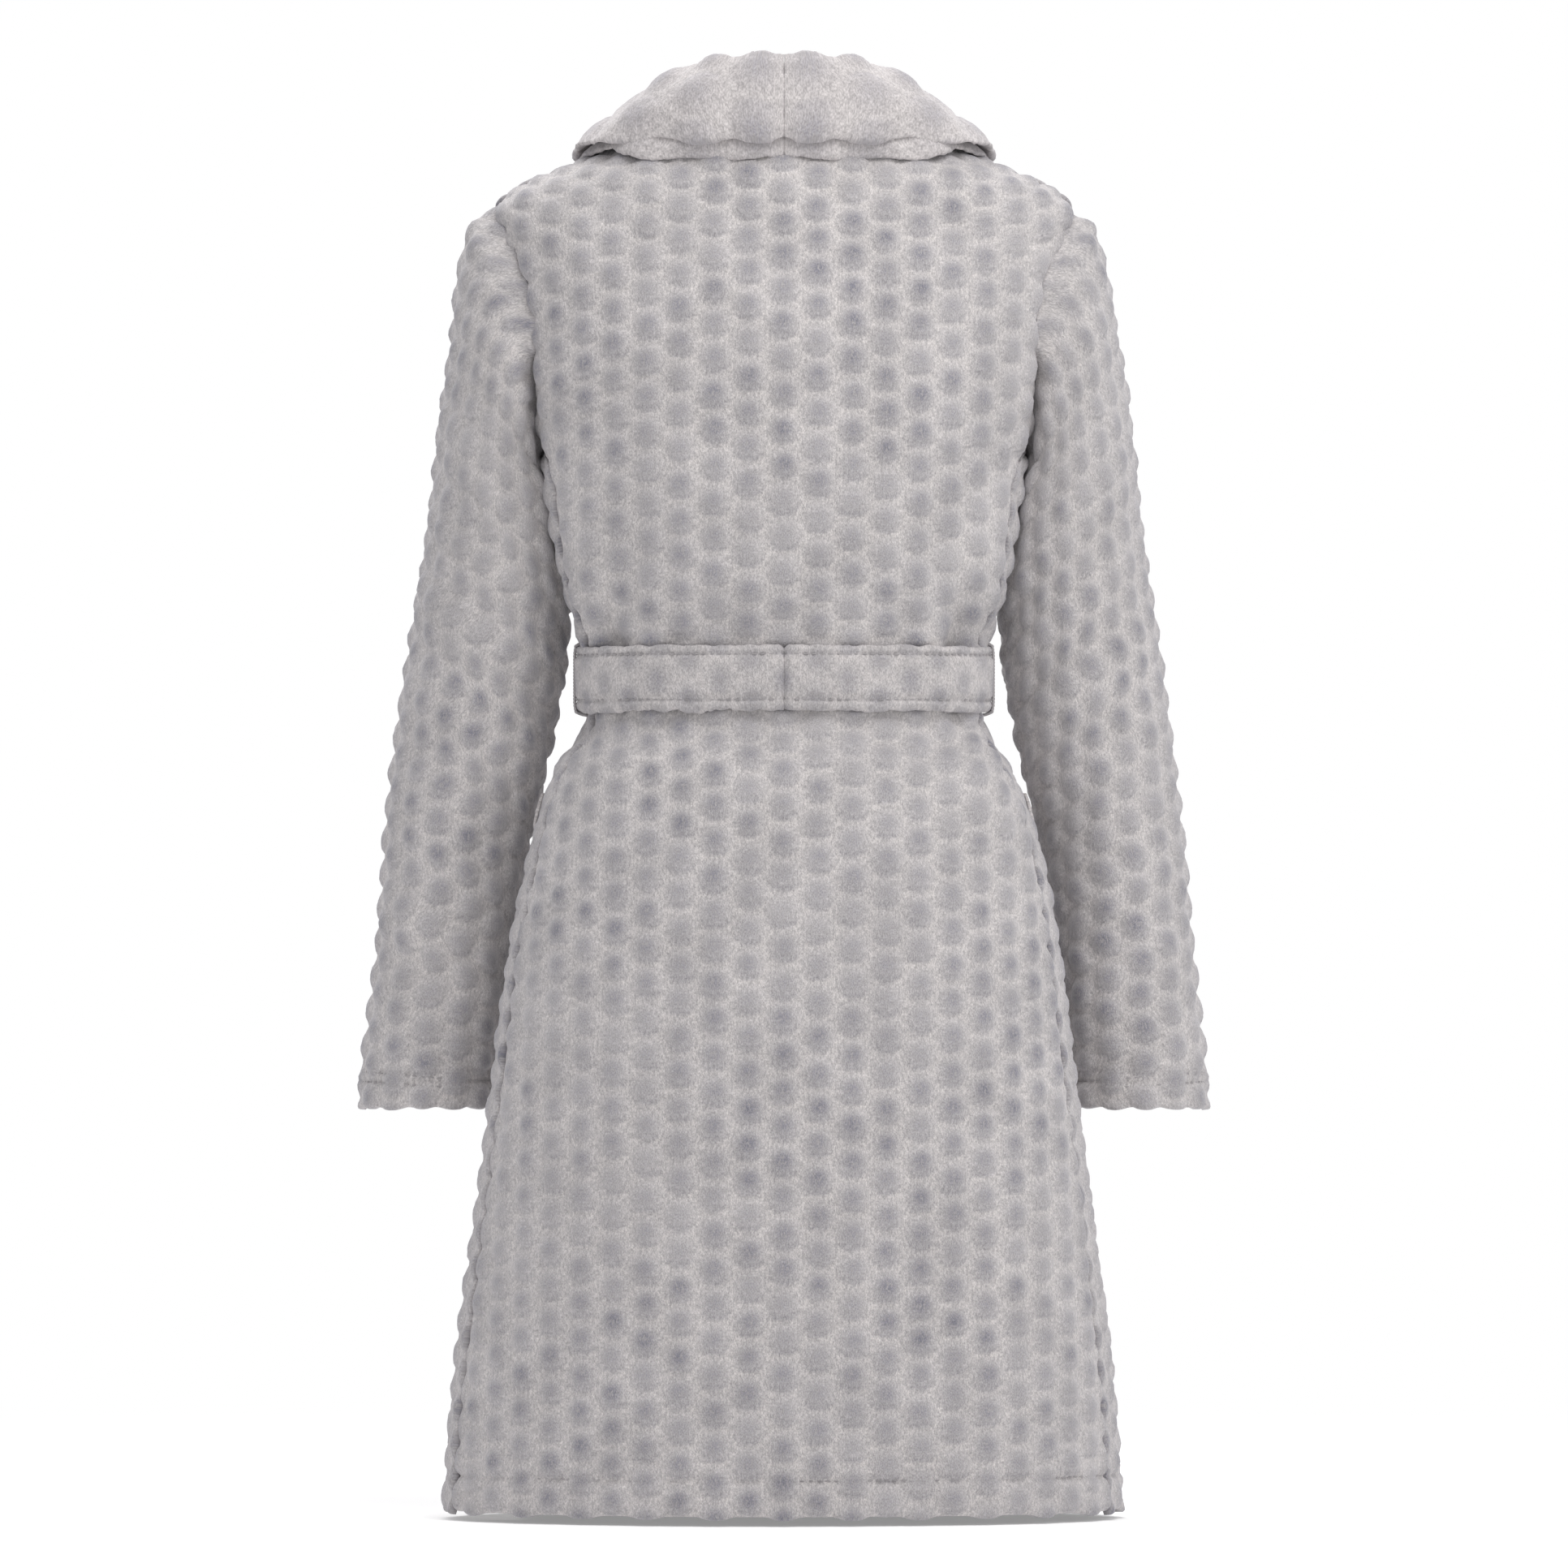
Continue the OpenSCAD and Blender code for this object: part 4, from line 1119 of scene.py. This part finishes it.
def remeshed(node, voxel, rounds):
    """Points, normals and faces of an even, smoothed copy of a CAD node's mesh."""
    copy = bpy.data.objects.new("work", NODES[node].data.copy())
    bpy.context.scene.collection.objects.link(copy)
    mod = copy.modifiers.new("even", "REMESH")
    mod.mode, mod.voxel_size = "VOXEL", voxel
    mod = copy.modifiers.new("seat", "SHRINKWRAP")
    mod.target, mod.wrap_method = NODES[node], "NEAREST_SURFACEPOINT"
    mod = copy.modifiers.new("soft", "SMOOTH")
    mod.factor, mod.iterations = 0.5, rounds
    me = bpy.data.meshes.new_from_object(copy.evaluated_get(bpy.context.evaluated_depsgraph_get()))
    points, normal = np.empty(len(me.vertices) * 3), np.empty(len(me.vertices) * 3)
    me.vertices.foreach_get("co", points)
    me.vertices.foreach_get("normal", normal)
    faces = [tuple(p.vertices) for p in me.polygons]
    bpy.data.objects.remove(copy)
    bpy.data.meshes.remove(me)
    return points.reshape(-1, 3), normal.reshape(-1, 3), faces


def roll_line(node, side):
    """Fold line of the collar, from the back seam to the tip of the lapel."""
    co = corners(node, side)
    angle = np.degrees(np.arctan2(co[:, 1], co[:, 0]))
    line = []
    for a in range(90, -41, -6):
        near = co[(np.abs(angle - a) < 5) & (co[:, 2] > COLLAR_TURN_Z + 0.01)]
        line.append(near[near[:, 2].argmax()])
    for z in np.arange(COLLAR_TURN_Z, co[:, 2].min() + 12 * MM, -0.03):
        near = co[(np.abs(co[:, 2] - z) < 15 * MM) & (co[:, 1] < 0)]
        line.append(near[near[:, 0].argmin()])
    line = np.array(line)
    line[0, 0] = 0
    for _ in range(3):
        line[1:-1] = 0.25 * line[:-2] + 0.5 * line[1:-1] + 0.25 * line[2:]
    return line


def along_line(points, line):
    """Run along the fold line, which is even round the neck and down the lapel, and the distance from it."""
    run = lengths(line)
    best = np.full(len(points), np.inf)
    for start, d in zip(line, np.diff(line, axis=0)):
        t = np.clip((points - start) @ d / (d @ d), 0, 1)
        best = np.minimum(best, np.linalg.norm(points - start - t[:, None] * d, axis=1))
    turn = np.arctan2(-line[:, 0], line[:, 1])
    neck = line[:, 2] > COLLAR_TURN_Z
    around = np.interp(np.arctan2(-points[:, 0], points[:, 1]), turn[neck][::-1], run[neck][::-1])
    down = np.interp(-points[:, 2], np.maximum.accumulate(-line[:, 2]), run)
    share = smooth(0.02, -0.05, points[:, 1]) * smooth(0.97, 0.93, points[:, 2])
    return around + (down - around) * share, best


def lowered(points, width):
    """Move of the under collar's free edge down the back, so that it shows below the upper collar."""
    angle = np.arctan2(points[:, 1] - AXIS_Y, np.abs(points[:, 0]))
    down = 10.5 * MM * smooth(34 * MM, 53 * MM, width) * smooth(math.radians(5), math.radians(25), angle)
    level = np.minimum(points[:, 2], NECK_Z - 8 * MM)
    sunk = 2.5 * MM + 3 * MM * smooth(math.radians(68), math.radians(48), angle)
    away = TORSO.radius(angle, level - down) - TORSO.radius(angle, level)
    away = away - sunk * smooth(30 * MM, 46 * MM, width)
    return np.stack([away * np.cos(angle) * np.sign(points[:, 0]), away * np.sin(angle), -down], -1)


def build_collar(word, side, layer, seed):
    """One layer of half the collar: large soft bubbles, a ragged free edge and a pinched back seam."""
    node = f"{word}_{layer}_collar"
    points, normal, faces = remeshed(node, 2.0 * MM, 10)
    local = points * [side, 1, 1]
    run, width = along_line(local, roll_line(f"{word}_upper_collar", side))
    raised, place = bubbles(run + 12 * MM, width, seed, COLLAR_PITCH, COLLAR_BUBBLE_R)
    at_back = local[:, 1] > 0
    tame = np.where(at_back, smooth(1 * MM, 7 * MM, local[:, 0]), 1)
    pile = lumps(run, width, seed + 5, 0.45, 2.4, 5) + lumps(run, width, seed + 6, 0.7, 12, 14)
    height = 3.0 * MM * tame if layer == "upper" else 1.2 * MM
    points = points + normal * (height * raised + pile)[:, None]
    if layer == "upper":
        points[:, 1] += 1.8 * MM * smooth(38 * MM, 50 * MM, width) * smooth(0, 0.04, local[:, 1])
    else:
        points = points + lowered(points, width)
    close = 2.4 * MM * smooth(11 * MM, 2 * MM, local[:, 0]) * at_back
    points[:, 0] -= side * np.minimum(close, np.maximum(local[:, 0] - 0.15 * MM, 0))
    ripple = wobble(run / (15 * MM), 0 * run, seed + 7) + 0.5 * wobble(run / (6 * MM), 0 * run, seed + 8)
    points[:, 2] += 1.8 * MM * smooth(34 * MM, 50 * MM, width) * ripple
    piece = new_mesh(node + "_fleece", points, faces, fabric_fields(run, width, place))
    placed(piece, "torso", "collar_fleece", node)


# ---- stitching ----


def outward(points, centre):
    return unit((points - centre) * [1, 1, 0])


def build_hem_stitching():
    angle = np.linspace(math.radians(8), math.radians(172), 500)
    points = TORSO.at(angle, np.full(len(angle), HEM_STITCH))
    out = outward(points, [0, AXIS_Y, 0])
    row = dashes("back_hem_stitches", points - 1.5 * MM * out, out)
    placed(row, "torso", "thread", "back_hem_stitching")


def build_cuff_stitching(word, side):
    around = np.linspace(0.002, 0.998, 400)
    for k, level in enumerate(CUFF_STITCH, 1):
        up = np.full(len(around), level / SLEEVE_RUN)
        points = TUBES[word].at(around, up) * [side, 1, 1]
        out = outward(points, points.mean(0))
        row = dashes(f"{word}_cuff_stitches_{k}", points - 1.3 * MM * out, out)
        placed(row, word + "_sleeve", "thread", word + "_cuff_stitching")


def build_belt_stitching(word, side, path, out):
    """Both stitch rows of a belt half, from the centre back to just before the knot."""
    flip, kept = np.array([side, 1, 1]), slice(-5, None, -1)
    for k, level in enumerate(BELT_GROOVES, 1):
        points = (path + [0, 0, level - BELT_HEIGHT / 2] - 0.9 * MM * out) * flip
        row = dashes(f"{word}_belt_stitches_{k}", points[kept], (out * flip)[kept])
        placed(row, "belt", "thread", "belt_stitching")


# ---- materials ----


class Graph:
    """Builds the nodes of a material or a world, with short calls."""

    def __init__(self, owner):
        owner.use_nodes = True
        self.owner, self.tree = owner, owner.node_tree
        self.tree.nodes.clear()

    def add(self, kind, settings=None, **inputs):
        node = self.tree.nodes.new("ShaderNode" + kind)
        for key, value in (settings or {}).items():
            setattr(node, key, value)
        for key, value in inputs.items():
            self.put(node.inputs[key.replace("_", " ")], value)
        return node

    def put(self, socket, value):
        if hasattr(value, "is_output"):
            self.tree.links.new(value, socket)
        elif hasattr(value, "outputs"):
            self.tree.links.new(value.outputs[0], socket)
        else:
            socket.default_value = value

    def field(self, name):
        return self.add("Attribute", {"attribute_name": name}).outputs["Vector"]

    def math(self, operation, a, b):
        node = self.add("Math", {"operation": operation})
        self.put(node.inputs[0], a)
        self.put(node.inputs[1], b)
        return node.outputs[0]

    def times(self, first, *others):
        for other in others:
            first = self.math("MULTIPLY", first, other)
        return first

    def plus(self, a, b):
        return self.math("ADD", a, b)

    def span(self, value, low, high, to_low=0.0, to_high=1.0):
        node = self.add("MapRange", {"interpolation_type": "SMOOTHSTEP"})
        for socket, item in zip(node.inputs, (value, low, high, to_low, to_high)):
            self.put(socket, item)
        return node.outputs[0]

    def mix(self, share, a, b, blend="MIX"):
        node = self.add("Mix", {"data_type": "RGBA", "blend_type": blend})
        self.put(node.inputs[0], share)
        self.put(node.inputs[6], a)
        self.put(node.inputs[7], b)
        return node.outputs[2]

    def noise(self, vector, scale, detail=2.0, rough=0.55):
        stretched = self.add("Mapping", Vector=vector, Scale=scale)
        node = self.add("TexNoise", Vector=stretched, Scale=1.0, Detail=detail, Roughness=rough)
        return node.outputs[0]

    def mixed(self, share, a, b):
        node = self.add("MixShader", Fac=share)
        self.put(node.inputs[1], a)
        self.put(node.inputs[2], b)
        return node

    def finish(self, shader, kind="OutputMaterial"):
        self.put(self.add(kind).inputs[0], shader)
        return self.owner

    def cloth(self, colour, height, bump_mm, rough=0.9, sheen=0.4):
        bump = self.add("Bump", Height=height, Strength=0.8, Distance=bump_mm * MM)
        shader = self.add(
            "BsdfPrincipled", Base_Color=colour, Roughness=rough, Normal=bump, Specular_IOR_Level=0.12,
            Sheen_Weight=sheen, Sheen_Roughness=0.55, Sheen_Tint=(0.97, 0.96, 1.0, 1),
        )
        return self.finish(shader)


def rgb(r, g, b):
    """Linear colour from display values of 0 to 255."""
    return tuple(((v / 255 + 0.055) / 1.055) ** 2.4 for v in (r, g, b)) + (1,)


def fleece(name, base, dark, light, centres=1.0, lie=(560, 260, 1)):
    """Coral fleece: streaky tufts, darker bubble centres, pale valleys, fine fibres and a painted shadow
    under each bubble's lower edge. centres is how strong the dark centres and the painted shadow are, and
    lie is how dense the tufts are across and along."""
    g = Graph(bpy.data.materials.new(name))
    fab = g.field("fab")
    away, strength, under = g.add("SeparateXYZ", Vector=g.field("cell")).outputs
    tufts = g.noise(fab, lie, 3.0, 0.6)
    fibres = g.noise(fab, (lie[0] * 2.6, lie[1] * 2.8, 1))
    blotch = g.noise(fab, (22, 18, 1))
    ragged = g.plus(away, g.times(g.math("SUBTRACT", tufts, 0.5), 0.9))
    streak = g.span(tufts, 0.36, 0.6, 0.3, 1.0)
    patch = g.times(g.span(ragged, 0.95, 0.2), strength, streak, centres)
    valley = g.times(g.span(ragged, 0.85, 1.35), 0.75)
    colour = g.mix(patch, g.mix(valley, base, light), dark)
    # painted shadow: the dark colour is mixed in along each bubble's lower edge, where light from above
    # would leave shade
    colour = g.mix(g.times(under, 0.28 * centres), colour, dark)
    shade, fine = g.span(blotch, 0.3, 0.7, 0.93, 1.05), g.span(fibres, 0.3, 0.7, 0.78, 1.16)
    tone = g.times(shade, fine, g.span(tufts, 0.3, 0.68, 0.84, 1.1))
    colour = g.mix(1.0, colour, g.add("CombineXYZ", X=tone, Y=tone, Z=tone), "MULTIPLY")
    return g.cloth(colour, g.plus(g.times(tufts, 0.7), g.times(fibres, 0.3)), 1.6)


def woven(name, base, dark, density, bump_mm, sheen=0.1, rough=0.7):
    """Plain weave or twisted thread: crossing waves along the cloth's own directions."""
    g = Graph(bpy.data.materials.new(name))
    fab = g.field("fab")
    x, y, _ = g.add("SeparateXYZ", Vector=fab).outputs
    x, y = g.times(x, density), g.times(y, density)
    slant, other = g.plus(x, y), g.math("SUBTRACT", x, y)
    weave = g.times(g.math("SINE", slant, 0), g.math("SINE", other, 0))
    fibres = g.noise(fab, (2600, 1800, 1))
    share = g.plus(g.span(weave, -0.6, 0.6, 0.0, 0.7), g.times(fibres, 0.3))
    return g.cloth(g.mix(share, dark, base), share, bump_mm, rough, sheen)


def build_materials():
    """One material for each slot: its colour, its darker colour and, for fleece, its lightest one."""
    body = (rgb(186, 182, 182), rgb(110, 110, 122), rgb(204, 199, 197))
    collar = (rgb(189, 184, 184), rgb(140, 138, 146), rgb(198, 193, 192))
    belt = (rgb(182, 178, 178), rgb(112, 111, 122), rgb(192, 187, 186))
    inner = (rgb(184, 180, 180), rgb(158, 156, 160), rgb(190, 186, 186))
    return {
        "fleece": fleece("bubble_fleece", *body),
        "collar_fleece": fleece("collar_bubble_fleece", *collar, 0.8, (480, 240, 1)),
        "belt_fleece": fleece("belt_pile_fleece", *belt, 0.95, (480, 220, 1)),
        "inner_fleece": fleece("short_pile_fleece", *inner, 0.0, (1200, 700, 1)),
        "thread": woven("twisted_thread", rgb(176, 172, 173), rgb(150, 147, 149), 5200, 0.15),
        "tape": woven("woven_tape", rgb(176, 173, 174), rgb(140, 138, 141), 3600, 0.25),
        "label": woven("satin_label", rgb(232, 231, 228), rgb(212, 211, 208), 6500, 0.06, 0.3, 0.45),
    }


def finish_materials():
    materials = build_materials()
    for obj in bpy.context.scene.objects:
        if obj.type == "MESH" and not obj.hide_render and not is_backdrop(obj):
            obj.data.materials.clear()
            obj.data.materials.append(materials[obj.get("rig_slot", "fleece")])


# ---- stage ----

WHITE = (1, 1, 1, 1)
FLOOR_SIZE = 12.0
FLOOR_Z = -6 * MM
CAMERA_AWAY = 12.0  # far away, as the photo shows almost no perspective
CAMERA_LENS = 389


def build_floor():
    """Pale floor that fades to plain white far away."""
    square = [(x * FLOOR_SIZE, y * FLOOR_SIZE, FLOOR_Z) for x, y in ((-1, -1), (1, -1), (1, 1), (-1, 1))]
    floor = new_mesh("floor", square, [(0, 1, 2, 3)])
    g = Graph(bpy.data.materials.new("pale_floor"))
    near = g.add(
        "BsdfPrincipled", Base_Color=(0.9, 0.9, 0.9, 1), Roughness=0.95, Specular_IOR_Level=0.0,
        Emission_Color=WHITE, Emission_Strength=0.24,
    )
    place = g.add("TexCoord").outputs["Object"]
    away = g.add("VectorMath", {"operation": "LENGTH"}, Vector=place).outputs["Value"]
    far = g.add("Emission", Color=WHITE, Strength=1.0)
    floor.data.materials.append(g.finish(g.mixed(g.span(away, 0.5, 2.2), near, far)))


def build_world():
    """Soft light from all sides, behind a plain white backdrop."""
    world = bpy.data.worlds.new("studio")
    bpy.context.scene.world = world
    g = Graph(world)
    soft = g.add("Background", Color=(0.97, 0.97, 1.0, 1), Strength=0.545)
    plain = g.add("Background", Color=WHITE, Strength=1.0)
    g.finish(g.mixed(g.add("LightPath").outputs["Is Camera Ray"], soft, plain), "OutputWorld")


def light(name, place, aim_z, size, power, colour):
    data = bpy.data.lights.new(name, "AREA")
    data.shape, data.size, data.energy, data.color = "DISK", size, power, colour
    lamp = bpy.data.objects.new(name, data)
    bpy.context.scene.collection.objects.link(lamp)
    lamp.location = place
    lamp.rotation_euler = (Vector((0, 0, aim_z)) - Vector(place)).to_track_quat("-Z", "Y").to_euler()


def build_stage():
    """Floor, soft studio light and a level camera behind the robe."""
    build_floor()
    build_world()
    middle = (CAD_BOX[0][2] + CAD_BOX[1][2]) / 2
    light("top", (-0.5, 1.2, 2.6), middle + 0.2, 1.6, 33, (1.0, 0.99, 0.97))
    light("side", (-2.2, 2.2, 1.1), middle, 1.2, 11, (1.0, 0.99, 0.98))
    light("top_front", (0.5, -1.2, 2.6), middle + 0.2, 1.6, 30, (1.0, 0.99, 0.97))
    data = bpy.data.cameras.new("camera")
    data.lens, data.sensor_width = CAMERA_LENS, 36
    camera = bpy.data.objects.new("camera", data)
    bpy.context.scene.collection.objects.link(camera)
    camera.location = (0, CAMERA_AWAY, middle)
    camera.rotation_euler = (math.pi / 2, 0, math.pi)
    bpy.context.scene.camera = camera
    bpy.context.scene.view_settings.view_transform = "Standard"


# ---- the whole robe ----


def build_robe():
    build_back()
    build_left_front()
    build_right_front()
    for word, side in SIDES:
        build_sleeve(word, side)
    for word, side in SIDES:
        build_collar(word, side, "upper", 81)
        build_collar(word, side, "under", 82)
    belt_lines = [build_belt_half(word, side) for word, side in SIDES]
    build_knot()
    build_belt_end("left", 0)
    build_belt_end("right", 1)
    for word, side in SIDES:
        build_belt_loop(word, side)
    build_hanger_loop()
    build_label()
    for word, side in SIDES:
        build_side_bands(word, side)
    build_long_bands()
    for word, side in SIDES:
        build_cuff_turn(word, side)
    build_hem_stitching()
    for word, side in SIDES:
        build_cuff_stitching(word, side)
    for (word, side), line in zip(SIDES, belt_lines):
        build_belt_stitching(word, side, *line)


build_robe()
finish_materials()
build_stage()
bpy.context.view_layer.update()
